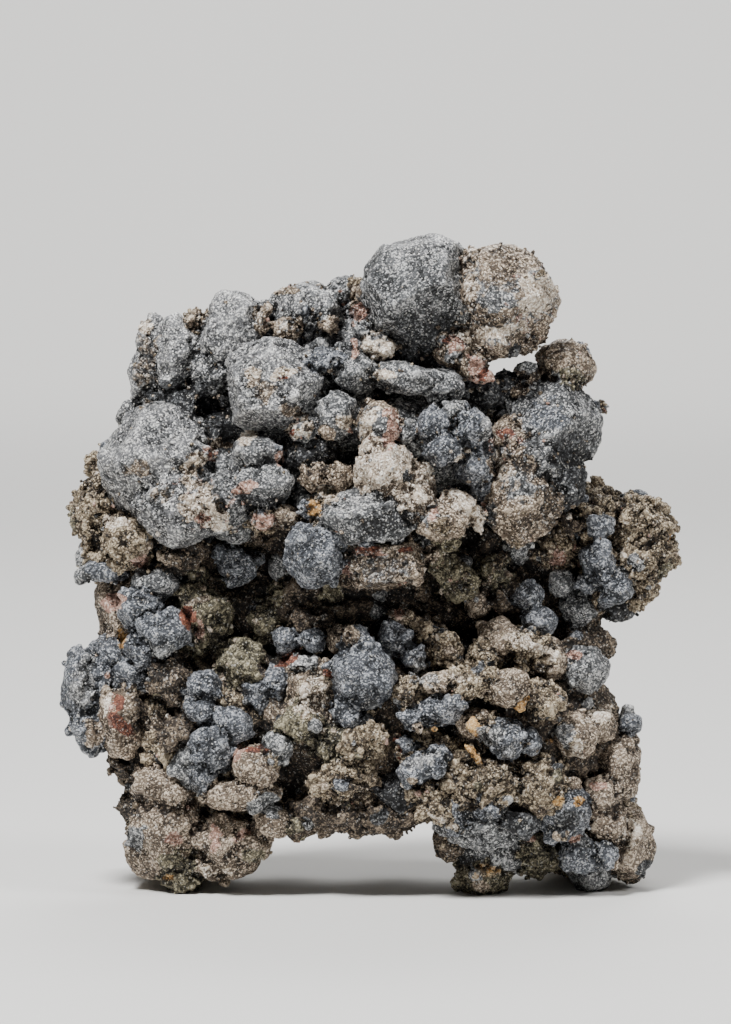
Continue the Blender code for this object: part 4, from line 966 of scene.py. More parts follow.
def wave_noise(points: np.ndarray, size: float, seed: int, waves: int = 12) -> np.ndarray:
    """Smooth noise, mostly between -1 and 1, built from waves in random directions.

    Args:
        points: places in millimetres.
        size: the usual length of a bump, in millimetres.
        seed: the number that fixes the pattern.
        waves: how many waves are laid over each other.

    Returns:
        One value for each point.
    """
    draw = np.random.default_rng(seed)
    total = np.zeros(len(points))
    for _ in range(waves):
        direction = draw.normal(size=3)
        direction /= np.linalg.norm(direction)
        length = size * draw.uniform(*WAVE_LENGTHS)
        phase = draw.uniform(0.0, 2.0 * math.pi)
        total += np.sin(points @ direction * (2.0 * math.pi / length) + phase)
    return total * WAVE_HEIGHT / math.sqrt(waves)


def rise(values: np.ndarray, low: float, high: float) -> np.ndarray:
    """Rises smoothly from 0 at low to 1 at high."""
    share = np.clip((values - low) / (high - low), 0.0, 1.0)
    return share * share * (3.0 - 2.0 * share)


def count_triangles(mesh: bpy.types.Mesh) -> int:
    """Counts a mesh's triangles."""
    mesh.calc_loop_triangles()
    return len(mesh.loop_triangles)


@dataclass(frozen=True)
class Crust:
    """Small angular lumps that grow on larger ones, the more the more cobbled the coat is.

    Sizes are half sizes in millimetres, and densities are lumps to the square millimetre. The fewest is
    the density where the coat isn't cobbled at all. The chances are the coats of those lumps that
    differ from what they sit on, and alike is the share of the others. They sit at the seat's share of
    the way out to the skin, and only where they are clear of the other lumps.
    """

    chances: tuple[Coat, ...] = ()
    fewest: float = 0.012
    cobbled: float = 0.19
    smallest: float = 0.45
    spread: float = 0.9
    bend: tuple[float, float] = (1.2, 2.0)
    largest_share: float = 0.45
    seat: float = 0.97
    stretch: tuple[float, float] = (0.75, 1.3)
    tilts: tuple[float, float] = (-80.0, 80.0)
    turns: tuple[float, float] = (1.0, 89.0)
    alike: float = 0.72
    clear: float = 0.86

    def grow(self, lumps: tuple[Lump, ...], seed: int) -> tuple[Lump, ...]:
        """Grows the small lumps, or none without chances.

        Args:
            lumps: the lumps that they grow on.
            seed: the number that fixes their places.

        Returns:
            The small lumps.
        """
        if not self.chances:
            return ()
        draw = np.random.default_rng(seed)
        grown = []
        for lump in lumps:
            radius = lump.radius()
            density = self.fewest + self.cobbled * COATINGS[lump.coat].cobbled
            lean = np.array(lump.lean().to_3x3())
            for _ in range(round(4.0 * math.pi * radius * radius * density)):
                outward = draw.normal(size=3)
                outward /= np.linalg.norm(outward)
                size = min(self.smallest + self.spread * draw.beta(*self.bend), self.largest_share * radius)
                out_to_skin = outward * (lump.rx, lump.ry, lump.rz) * self.seat
                spot = lean @ out_to_skin + (lump.x, lump.y, lump.z)
                stretch = draw.uniform(*self.stretch, size=3) * size
                tilt, turn = draw.uniform(*self.tilts), draw.uniform(*self.turns)
                alike = draw.random() < self.alike
                coat = lump.coat if alike else self.chances[draw.integers(len(self.chances))]
                outness = min(other.nearness(spot[None])[0] for other in lumps)
                if outness > self.clear and spot[2] > size:
                    grown.append(Lump(*spot, *stretch, tilt, turn, coat))
        return tuple(grown)


# What grows on the smooth crown, on the rock, on the heap and on the crystals that sit apart
NO_CRUST = Crust()
ROCK_CRUST = Crust((GREY, SLATE, BUFF, OLIVE, BROWN, BUFF, TAN, BLACK))
HEAP_CRUST = Crust((GREY, GREY, SLATE, BUFF, TAN, BLACK))
KNOB_CRUST = Crust((SLATE, SLATE, GREY, BUFF), fewest=0.07)


class Stock:
    """The starting shapes of lumps, each modelled once and copied."""

    def __init__(self) -> None:
        """Makes an empty store of starting shapes."""
        self.shapes: dict[tuple[Faces, int], bpy.types.Mesh] = {}

    def shape(self, lump: Lump) -> bpy.types.Mesh:
        """Finds or models the starting shape that a lump needs, a coarser one where it is small.

        Args:
            lump: the lump.

        Returns:
            The shape's mesh, which is only copied.
        """
        if lump.faces:
            faces = lump.faces
        elif lump.turn is not None:
            faces = self.crystal_faces()
        else:
            faces = self.worn_faces(int(lump.by_place(*SHAPE_BY_PLACE)) % WORN_SHAPES)
        fineness = FINE_SPHERE if lump.rx > SMALL_LUMP else COARSE_SPHERE
        if (faces, fineness) not in self.shapes:
            self.shapes[faces, fineness] = self.model(faces, fineness)
        return self.shapes[faces, fineness]

    def model(self, faces: Faces, fineness: int) -> bpy.types.Mesh:
        """Models one starting shape of radius 1.

        Args:
            faces: the bearing, rise and distance of each flat face.
            fineness: how often the sphere that it is cut from is subdivided.

        Returns:
            The mesh, rounded where no face cuts it.
        """
        deselect()
        bpy.ops.mesh.primitive_ico_sphere_add(subdivisions=fineness, radius=1.0)
        made = bpy.context.active_object
        bpy.ops.object.mode_set(mode="EDIT")
        for bearing, climb, distance in faces:
            turn, up = math.radians(bearing), math.radians(climb)
            normal = Vector((math.sin(turn) * math.cos(up), -math.cos(turn) * math.cos(up), math.sin(up)))
            bpy.ops.mesh.select_all(action="SELECT")
            bpy.ops.mesh.bisect(plane_co=normal * distance, plane_no=normal, use_fill=True, clear_outer=True)
        bpy.ops.mesh.select_all(action="SELECT")
        bpy.ops.mesh.quads_convert_to_tris()
        bpy.ops.object.mode_set(mode="OBJECT")
        mesh = made.data.copy()
        bpy.data.objects.remove(made)
        return mesh

    @staticmethod
    def worn_faces(kind: int) -> Faces:
        """Flat faces all round at uneven distances, as bearing, rise and distance.

        Args:
            kind: the number of the worn shape.

        Returns:
            The faces, from the top down.
        """
        draw = np.random.default_rng(kind)
        faces = []
        for number in range(WORN_FACES):
            climb = math.degrees(math.asin(1.0 - 2.0 * (number + 0.5) / WORN_FACES))
            bearing = number * WORN_TURN + draw.uniform(-WORN_BEARING_STRAY, WORN_BEARING_STRAY)
            distance = draw.uniform(WORN_NEAREST, WORN_FARTHEST)
            climb += draw.uniform(-WORN_RISE_STRAY, WORN_RISE_STRAY)
            faces.append((bearing, climb, distance))
        return tuple(faces)

    @staticmethod
    def crystal_faces() -> Faces:
        """A cube's six faces and its eight cut corners, as bearing, rise and distance.

        Returns:
            The sides, the ends and the corners.
        """
        corner_rise = math.degrees(math.atan(1.0 / math.sqrt(2.0)))
        sides = [(bearing, 0.0, CUBE_FACE) for bearing in (0.0, 90.0, 180.0, 270.0)]
        ends = [(0.0, up, CUBE_FACE) for up in (90.0, -90.0)]
        corners = [
            (bearing, up, CORNER_FACE)
            for bearing in (45.0, 135.0, 225.0, 315.0)
            for up in (corner_rise, -corner_rise)
        ]
        return tuple(sides + ends + corners)

    def gather(self, name: str, lumps: tuple[Lump, ...]) -> bpy.types.Object:
        """Joins a copy of a starting shape for every lump into one object.

        Args:
            name: the new object's name.
            lumps: the lumps to place.

        Returns:
            The joined object, active and selected.
        """
        copies = []
        for lump in lumps:
            mesh = self.shape(lump).copy()
            mesh.transform(lump.place())
            copy = bpy.data.objects.new(name, mesh)
            bpy.context.scene.collection.objects.link(copy)
            copies.append(copy)
        deselect()
        for copy in copies:
            copy.select_set(True)
        bpy.context.view_layer.objects.active = copies[0]
        if len(copies) > 1:
            bpy.ops.object.join()
        joined = bpy.context.active_object
        joined.name = name
        return joined


# How near to a cut points are merged, in metres
CUT_MERGE = 1e-7


class Skin:
    """Turns gathered lumps into one skin with relief."""

    def __init__(self) -> None:
        """Makes an empty store of relief textures."""
        self.textures: dict[Relief, bpy.types.Texture] = {}

    def texture(self, relief: Relief) -> bpy.types.Texture:
        """Finds or makes the texture of one layer of relief.

        Args:
            relief: the layer, which has a kind.

        Returns:
            The texture.
        """
        if relief not in self.textures:
            made = bpy.data.textures.new(f"{relief.kind.name.lower()} {relief.size} mm", relief.kind.value)
            made.noise_scale = relief.size * MM
            if relief.kind is Grain.CLOUDS:
                made.noise_depth = 2
                made.noise_type = "HARD_NOISE" if relief.hard else "SOFT_NOISE"
            self.textures[relief] = made
        return self.textures[relief]

    @staticmethod
    def apply(item: bpy.types.Object, kind: str, **settings: object) -> None:
        """Adds one modifier and applies it.

        Args:
            item: the object.
            kind: the modifier's type.
            **settings: the modifier's own properties.
        """
        activate(item)
        modifier = item.modifiers.new(kind.lower(), kind)
        for name, value in settings.items():
            setattr(modifier, name, value)
        bpy.ops.object.modifier_apply(modifier=modifier.name)

    def fuse(self, item: bpy.types.Object, voxel: float) -> None:
        """Fuses overlapping lumps into one skin, with faces of the size given in millimetres."""
        self.apply(item, "REMESH", mode="VOXEL", voxel_size=voxel * MM, use_smooth_shade=True)

    def carve(self, item: bpy.types.Object, cutter: bpy.types.Object) -> None:
        """Cuts one closed object out of another and removes the cutter."""
        self.apply(item, "BOOLEAN", operation="DIFFERENCE", solver="MANIFOLD", object=cutter)
        bpy.data.objects.remove(cutter)

    def roughen(self, item: bpy.types.Object, reliefs: tuple[Relief, ...]) -> None:
        """Pushes a skin in and out by each layer of relief in turn.

        Args:
            item: the skin, which has the groups of points that the layers name.
            reliefs: the layers.
        """
        for relief in reliefs:
            level = RIDGED_LEVEL if relief.kind is Grain.CELLS or relief.hard else EVEN_LEVEL
            self.apply(
                item,
                "DISPLACE",
                texture=self.texture(relief) if relief.kind else None,
                texture_coords="LOCAL",
                strength=relief.height * MM,
                mid_level=level if relief.kind else 0.0,
                vertex_group=relief.group,
            )

    @staticmethod
    def stand_flat(piece: bpy.types.Object) -> None:
        """Cuts a piece off at the plane that the feet stand on, where it reaches below it.

        Args:
            piece: the piece.
        """
        if vertex_array(piece.data, "co")[:, 2].min() >= 0.0:
            return
        activate(piece)
        bpy.ops.object.mode_set(mode="EDIT")
        bpy.ops.mesh.select_all(action="SELECT")
        bpy.ops.mesh.bisect(
            plane_co=(0, 0, 0), plane_no=(0, 0, -1), use_fill=True, clear_outer=True, threshold=CUT_MERGE
        )
        bpy.ops.object.mode_set(mode="OBJECT")


@dataclass
class Survey:
    """What is known of a skin's points: place, facing, coats, and how far they stand out."""

    points: np.ndarray
    normals: np.ndarray
    coats: np.ndarray
    seam: np.ndarray
    crest: np.ndarray
    bulge: np.ndarray


# How noise frays the borders between lumps: how far it moves them and the length of its bumps, in
# millimetres, and the seed for each axis
BORDER_STRAY = 0.4
BORDER_WAVE = 1.6
BORDER_SEEDS = (21, 22, 23)

# How wide a border is between lumps of one piece, as a share of a half size, and how strong and how
# wide in millimetres it is beside another piece
BORDER_WIDTH = 0.09
NEIGHBOUR_STRENGTH = 0.6
NEIGHBOUR_WIDTH = 0.35

# How sharply the coats of two lumps meet, how far round a small lump its coat is looked for, and where
# that coat fades, in shares of its half size
COAT_BLEND = 0.04
CRUST_REACH = 1.5
CRUST_RIM = (-1.4, -1.15)

# The noises that fray a patch, as height, length in millimetres and seed, and the facing and the depth
# at which the patches of the front begin to show and show in full
PATCH_NOISES = ((0.6, 2.2, 11), (0.5, 0.9, 12))
FRONT_FACING = (-0.5, 0.1)
FRONT_DEPTH = (-5.0, -2.0)

# How soon a cobbled coat is rough all over, how uneven a bare one still is, and how finely the skin's
# groups of points are weighed
ROUGH_GAIN = 2.2
BARE_UNEVENNESS = 0.4
WEIGHT_STEPS = 10

# How often a skin is smoothed to find its crests and its bulges, and the heights in millimetres that
# count as full
CREST_ROUNDS, BULGE_ROUNDS = 5, 40
CREST_HEIGHT = 0.12
BULGE_HEIGHT = 0.7

# What a mesh says of its relief besides its coats, which the material paints as light on crests and
# bulges and as shade in creases and along borders, besides each grain's own shade at random
RELIEF_ATTRIBUTES = ("crest", "bulge", "border", "shade")


class Paint:
    """Works out which coat each point of a skin has, and writes it where the material reads it."""

    KEYS = tuple(Coat)

    @staticmethod
    def write(mesh: bpy.types.Mesh, name: str, values: np.ndarray) -> None:
        """Stores one number for each vertex."""
        layer = mesh.attributes.get(name) or mesh.attributes.new(name, "FLOAT", "POINT")
        layer.data.foreach_set("value", values.astype(np.float32))

    @staticmethod
    def standing_out(mesh: bpy.types.Mesh, rounds: tuple[int, ...]) -> list[np.ndarray]:
        """How far each vertex stands out of the skin once that is smoothed, in millimetres.

        Args:
            mesh: the skin.
            rounds: how often the skin is smoothed for each answer, fewest first.

        Returns:
            For each number of rounds, positive values on crests and negative ones in creases.
        """
        count = len(mesh.vertices)
        pairs = np.empty(len(mesh.edges) * 2, dtype=np.int32)
        mesh.edges.foreach_get("vertices", pairs)
        first, second = pairs[0::2], pairs[1::2]
        places = vertex_array(mesh, "co") / MM
        normals = vertex_array(mesh, "normal")
        links = np.bincount(first, minlength=count) + np.bincount(second, minlength=count)
        links = np.maximum(links, 1)[:, None]
        smoothed = places.copy()
        answers = []
        for step in range(1, rounds[-1] + 1):
            total = np.empty_like(smoothed)
            for axis in range(3):
                total[:, axis] = np.bincount(first, weights=smoothed[second, axis], minlength=count)
                total[:, axis] += np.bincount(second, weights=smoothed[first, axis], minlength=count)
            smoothed = 0.5 * smoothed + 0.5 * total / links
            if step in rounds:
                answers.append(np.einsum("ij,ij->i", places - smoothed, normals))
        return answers

    @staticmethod
    def strayed(points: np.ndarray) -> np.ndarray:
        """The points as slightly moved by noise, which frays the borders between lumps."""
        noises = [wave_noise(points, BORDER_WAVE, seed) for seed in BORDER_SEEDS]
        return points + BORDER_STRAY * np.stack(noises, axis=1)

    def seams_of(self, points: np.ndarray, lumps: tuple[Lump, ...], others: tuple[Lump, ...]) -> np.ndarray:
        """How near each point lies to a border between two lumps.

        Args:
            points: places in millimetres.
            lumps: the lumps that the skin was fused from.
            others: the lumps of the neighbouring pieces.

        Returns:
            Values from 0 to 1, on a border.
        """
        strayed = self.strayed(points)
        seam = np.zeros(len(points))
        if len(lumps) > 1:
            outness = np.sort(np.stack([lump.nearness(strayed) for lump in lumps], axis=1), axis=1)
            seam = np.exp(-(outness[:, 1] - outness[:, 0]) / BORDER_WIDTH)
        for lump in others:
            away = np.abs(lump.nearness(strayed) - 1.0) * lump.radius()
            seam = np.maximum(seam, NEIGHBOUR_STRENGTH * np.exp(-away / NEIGHBOUR_WIDTH))
        return seam

    def coats_of(
        self, points: np.ndarray, normals: np.ndarray, lumps: tuple[Lump, ...], crust: tuple[Lump, ...]
    ) -> np.ndarray:
        """Which coats each point has.

        Args:
            points: places in millimetres.
            normals: the directions in which the skin faces there.
            lumps: the lumps that the skin was fused from.
            crust: the small lumps on them.

        Returns:
            One row for each point and one column for each coat, with shares that add up to one.
        """
        strayed = self.strayed(points)
        outness = np.stack([lump.nearness(strayed) for lump in lumps], axis=1)
        share = np.exp((outness.min(axis=1)[:, None] - outness) / COAT_BLEND)
        share /= share.sum(axis=1)[:, None]
        coats = np.zeros((len(points), len(self.KEYS)))
        for column, lump in zip(share.T, lumps):
            coats[:, self.KEYS.index(lump.coat)] += column
        tree = KDTree(len(points))
        for number, point in enumerate(points):
            tree.insert(point, number)
        tree.balance()
        for lump in crust:
            reach = CRUST_REACH * max(lump.rx, lump.ry, lump.rz)
            near = [number for _, number, _ in tree.find_range((lump.x, lump.y, lump.z), reach)]
            if near:
                cover = rise(-lump.nearness(points[near]), *CRUST_RIM)
                coats[near] *= (1.0 - cover)[:, None]
                coats[near, self.KEYS.index(lump.coat)] += cover
        ragged = sum(height * wave_noise(points, size, seed) for height, size, seed in PATCH_NOISES)
        front = rise(-normals[:, 1], *FRONT_FACING) * rise(-points[:, 1], *FRONT_DEPTH)
        for patch in PATCHES:
            for layer in (patch.halo(), patch) if patch.coat is CREAM else (patch,):
                cover = layer.share(points, ragged) * front
                coats *= (1.0 - cover)[:, None]
                coats[:, self.KEYS.index(layer.coat)] += cover
        return coats

    def cobbled_share(self, coats: np.ndarray) -> np.ndarray:
        """How cobbled each point is, which follows from its coats."""
        return coats @ np.array([COATINGS[coat].cobbled for coat in self.KEYS])

    def group_weights(self, piece: bpy.types.Object, coats: np.ndarray, seam: np.ndarray) -> None:
        """Writes how far each point takes part in each kind of relief, in even steps.

        Args:
            piece: the skin.
            coats: the coats of its points.
            seam: how near each lies to a border.
        """
        cobbled = np.clip(self.cobbled_share(coats), 0.0, 1.0)
        rough = np.clip(cobbled * ROUGH_GAIN, 0.0, 1.0)
        shares = {
            "cobbled": cobbled,
            "rough": rough,
            "bare": 1.0 - rough,
            "uneven": BARE_UNEVENNESS + (1.0 - BARE_UNEVENNESS) * rough,
            "seam": seam,
        }
        for name, values in shares.items():
            group = piece.vertex_groups.new(name=name)
            steps = np.rint(values * WEIGHT_STEPS).astype(int)
            for step in range(1, WEIGHT_STEPS + 1):
                group.add(np.nonzero(steps == step)[0].tolist(), step / WEIGHT_STEPS, "REPLACE")

    def dress(self, mesh: bpy.types.Mesh, lumps: tuple[Lump, ...], crust: tuple[Lump, ...]) -> Survey:
        """Writes every attribute of one finished skin.

        Args:
            mesh: the skin, which already holds how near each point lies to a border.
            lumps: the lumps that it was fused from.
            crust: the small lumps on them.

        Returns:
            What was worked out on the way, for the grains that lie on the skin.
        """
        points = vertex_array(mesh, "co") / MM
        normals = vertex_array(mesh, "normal")
        coats = self.coats_of(points, normals, lumps, crust)
        crest, bulge = self.standing_out(mesh, (CREST_ROUNDS, BULGE_ROUNDS))
        crest = np.clip(crest / CREST_HEIGHT, -1.0, 1.0)
        bulge = np.clip(bulge / BULGE_HEIGHT, -1.0, 1.0)
        seam = np.empty(len(points), dtype=np.float32)
        mesh.attributes["border"].data.foreach_get("value", seam)
        survey = Survey(points, normals, coats, seam.astype(np.float64), crest, bulge)
        self.store(mesh, survey, np.zeros(len(points)))
        return survey

    def store(self, mesh: bpy.types.Mesh, survey: Survey, shade: np.ndarray) -> None:
        """Writes a survey's coats and relief, and each point's own shade, into a mesh.

        Args:
            mesh: the mesh.
            survey: what is known of its points.
            shade: from -1 for dark to 1 for light.
        """
        for coat, column in zip(self.KEYS, survey.coats.T):
            self.write(mesh, coat.value, column)
        for name, values in zip(RELIEF_ATTRIBUTES, (survey.crest, survey.bulge, survey.seam, shade)):
            self.write(mesh, name, values)


# Painted highlights, which stand for the small fresh faces that catch the light
PAINTED_GLINT_COLOUR = "#e2dfd8"


@dataclass(frozen=True)
class MineralFinish:
    """A mineral skin whose coats come from the attributes of the mesh that it covers.

    The real grains are too fine to show, so they are drawn at 0.17 mm and their grit at 0.3 mm, as
    coarse as they need to be. Crumbs and mottling have the sizes that they have on the specimen. An
    edge is the pair of values between which something sets in.
    """

    name: str
    base: Coat
    grain_mm: float = 0.17
    grit_mm: float = 0.3
    crumb_mm: float = 0.7
    mottle_mm: float = 2.6
    noise_detail: float = 4.0
    noise_roughness: float = 0.65
    roughness: float = 0.7
    metallic: float = 0.0
    # How light the skin is, how rare its light grains are, and what grains, grit, crumbs, mottling
    # and the mesh's own attributes count for: painted light on crests and bulges, painted shade in
    # creases and along borders, and each grain's own shade at random
    level: float = 0.645
    rarity: float = 3.0
    tone_shares: tuple[float, float, float, float] = (0.85, 0.45, 0.4, 1.2)
    painted_shade_and_tone_shares: tuple[float, float, float, float] = (0.12, 0.28, -0.28, 0.2)
    stops: tuple[float, float, float] = (0.08, 0.5, 0.95)
    # How crumbs fray the rims of the coats, how the painted glints gather, and how dark the holes are, whose
    # darkening is painted shade
    coat_fray: float = 1.1
    coat_edge: tuple[float, float] = (0.95, 1.15)
    glint: float = 0.6
    glint_gathering: float = 0.5
    glint_edge: tuple[float, float] = (1.19, 1.23)
    hole_shade: float = 0.3
    hole_edge: tuple[float, float] = (0.04, 0.08)
    # The height of the relief in millimetres, and the parts of grains, grit and crumbs in it
    bump_mm: float = 0.14
    bump_shares: tuple[float, float, float] = (-0.7, 1.2, 1.6)

    def make(self) -> bpy.types.Material:
        """Builds the material.

        Returns:
            The material.
        """
        made = bpy.data.materials.new(self.name)
        made.use_nodes = True
        tree = made.node_tree
        tree.nodes.clear()
        place = add_node(tree, "ShaderNodeTexCoord").outputs["Object"]
        scale = 1.0 / (self.grain_mm * MM)
        grain = add_node(tree, "ShaderNodeTexVoronoi", {"Vector": place, "Scale": scale}).outputs
        chance = add_node(tree, "ShaderNodeSeparateColor", {"Color": grain["Color"]}).outputs
        spread = {"Vector": place, "Detail": self.noise_detail, "Roughness": self.noise_roughness}
        grit, crumb, mottle = (
            add_node(tree, "ShaderNodeTexNoise", {**spread, "Scale": 1.0 / (size * MM)}).outputs["Fac"]
            for size in (self.grit_mm, self.crumb_mm, self.mottle_mm)
        )
        rare = add_node(
            tree, "ShaderNodeMath", {0: chance["Red"], 1: self.rarity}, operation="POWER"
        ).outputs[0]
        skin = self.coated(tree, self.tone(tree, (rare, grit, crumb, mottle)), crumb)
        # Painted highlights on a few gathered grains
        skin = self.painted_glints(tree, skin, crumb, chance["Green"])
        # The holes darken a few grains as painted shade in small pits, and sink them in the bump
        low, high = self.hole_edge
        hole = add_node(
            tree, "ShaderNodeMapRange", {0: chance["Blue"], 1: low, 2: high, 3: self.hole_shade}
        ).outputs[0]
        skin = add_node(
            tree, "ShaderNodeMix", {"Factor": 1.0, 6: skin, 7: hole}, data_type="RGBA", blend_type="MULTIPLY"
        ).outputs[2]
        height = self.weighed(tree, (grain["Distance"], grit, crumb), self.bump_shares, hole)
        bump = add_node(
            tree, "ShaderNodeBump", {"Strength": 1.0, "Distance": self.bump_mm * MM, "Height": height}
        )
        shader = add_node(
            tree,
            "ShaderNodeBsdfPrincipled",
            {
                "Base Color": skin,
                "Roughness": self.roughness,
                "Metallic": self.metallic,
                "Normal": bump.outputs["Normal"],
            },
        )
        add_node(tree, "ShaderNodeOutputMaterial", {"Surface": shader.outputs[0]})
        return made

    @staticmethod
    def weighed(
        tree: bpy.types.NodeTree,
        sources: tuple[bpy.types.NodeSocket, ...],
        shares: tuple[float, ...],
        total: bpy.types.NodeSocket | float,
    ) -> bpy.types.NodeSocket:
        """Adds up sources by their shares.

        Args:
            tree: the material's node tree.
            sources: what is added.
            shares: how much each source counts.
            total: what they are added to.

        Returns:
            The socket that gives the sum.
        """
        for source, share in zip(sources, shares):
            total = add_node(
                tree, "ShaderNodeMath", {0: source, 1: share, 2: total}, operation="MULTIPLY_ADD"
            ).outputs[0]
        return total

    def tone(
        self, tree: bpy.types.NodeTree, sources: tuple[bpy.types.NodeSocket, ...]
    ) -> bpy.types.NodeSocket:
        """Works out how light each place is, from chance and noise, and from relief as painted light and
        painted shade.

        Args:
            tree: the material's node tree.
            sources: what runs from 0 to 1 over the skin, in the order of the tone's shares.

        Returns:
            The socket that gives 0 in pits to 1 on the lightest grains.
        """
        total = self.weighed(tree, sources, self.tone_shares, self.level - 0.5 * sum(self.tone_shares))
        # Painted light on crests and bulges, painted shade in creases and along the borders between lumps,
        # and each grain's own shade at random
        layers = tuple(
            add_node(tree, "ShaderNodeAttribute", attribute_name=name).outputs["Fac"]
            for name in RELIEF_ATTRIBUTES
        )
        return self.weighed(tree, layers, self.painted_shade_and_tone_shares, total)

    def coated(
        self, tree: bpy.types.NodeTree, tone: bpy.types.NodeSocket, crumb: bpy.types.NodeSocket
    ) -> bpy.types.NodeSocket:
        """Lays every coat over the base where the mesh has it.

        Args:
            tree: the material's node tree.
            tone: how light each place is.
            crumb: the noise that frays the rims of the coats.

        Returns:
            The socket that gives the colour.
        """
        skin = self.shaded(tree, self.base, tone)
        low, high = self.coat_edge
        for coat in Coat:
            if coat is self.base:
                continue
            amount = add_node(tree, "ShaderNodeAttribute", attribute_name=coat.value).outputs["Fac"]
            frayed = self.weighed(tree, (crumb,), (self.coat_fray,), amount)
            cover = add_node(tree, "ShaderNodeMapRange", {0: frayed, 1: low, 2: high}).outputs[0]
            skin = add_node(
                tree,
                "ShaderNodeMix",
                {"Factor": cover, 6: skin, 7: self.shaded(tree, coat, tone)},
                data_type="RGBA",
            ).outputs[2]
        return skin

    def painted_glints(
        self,
        tree: bpy.types.NodeTree,
        skin: bpy.types.NodeSocket,
        crumb: bpy.types.NodeSocket,
        chance: bpy.types.NodeSocket,
    ) -> bpy.types.NodeSocket:
        """Strews painted highlights over the skin, which stand for small fresh faces that catch the light.

        Args:
            tree: the material's node tree.
            skin: the colour so far.
            crumb: the noise that gathers them.
            chance: each grain's own value.

        Returns:
            The socket that gives the colour.
        """
        gathered = self.weighed(tree, (crumb,), (self.glint_gathering,), chance)
        low, high = self.glint_edge
        glint = add_node(tree, "ShaderNodeMapRange", {0: gathered, 1: low, 2: high, 4: self.glint})
        return add_node(
            tree,
            "ShaderNodeMix",
            {"Factor": glint.outputs[0], 6: skin, 7: colour(PAINTED_GLINT_COLOUR)},
            data_type="RGBA",
        ).outputs[2]

    def shaded(
        self, tree: bpy.types.NodeTree, coat: Coat, tone: bpy.types.NodeSocket
    ) -> bpy.types.NodeSocket:
        """Turns the tone into one coat's colours.

        Args:
            tree: the material's node tree.
            coat: the coat.
            tone: how light each place is.

        Returns:
            The socket that gives the colour.
        """
        coating = COATINGS[coat]
        ramp = add_node(tree, "ShaderNodeValToRGB", {0: tone})
        dark, middle, light = self.stops
        ends = ramp.color_ramp.elements
        ends[0].position, ends[0].color = dark, colour(coating.dark)
        ends[1].position, ends[1].color = light, colour(coating.light)
        ends.new(middle).color = colour(coating.middle)
        return ramp.outputs["Color"]


@dataclass(frozen=True)
class GrainShape:
    """A kind of loose grain: its sizes in millimetres, and whether it is rounded."""

    smallest: float
    largest: float
    rounded: bool


CRUMB = GrainShape(0.12, 0.38, False)
NODULE = GrainShape(0.22, 0.58, True)

# What settles in the creases, and how often
DUST = {
    Coat.GREY: 0.12,
    Coat.BUFF: 0.32,
    Coat.TAN: 0.18,
    Coat.CREAM: 0.18,
    Coat.BROWN: 0.14,
    Coat.SALMON: 0.06,
}


# How grains vary: how their sizes bend towards the small ones, how far they are stretched, how knobbly
# they are and how deep they sit as shares of their size, and how far aside they lie in millimetres
GRAIN_BEND = (1.3, 2.6)
GRAIN_STRETCH = (0.65, 1.35)
GRAIN_KNOBS = 0.28
GRAIN_SEAT = (-0.5, 0.3)
GRAIN_ASIDE = 0.15

# The most that a grain takes on of the skin's bulge, and its part of the skin's border shade, both painted
# as light and shade
GRAIN_BULGE = 0.2
GRAIN_BORDER = 0.5


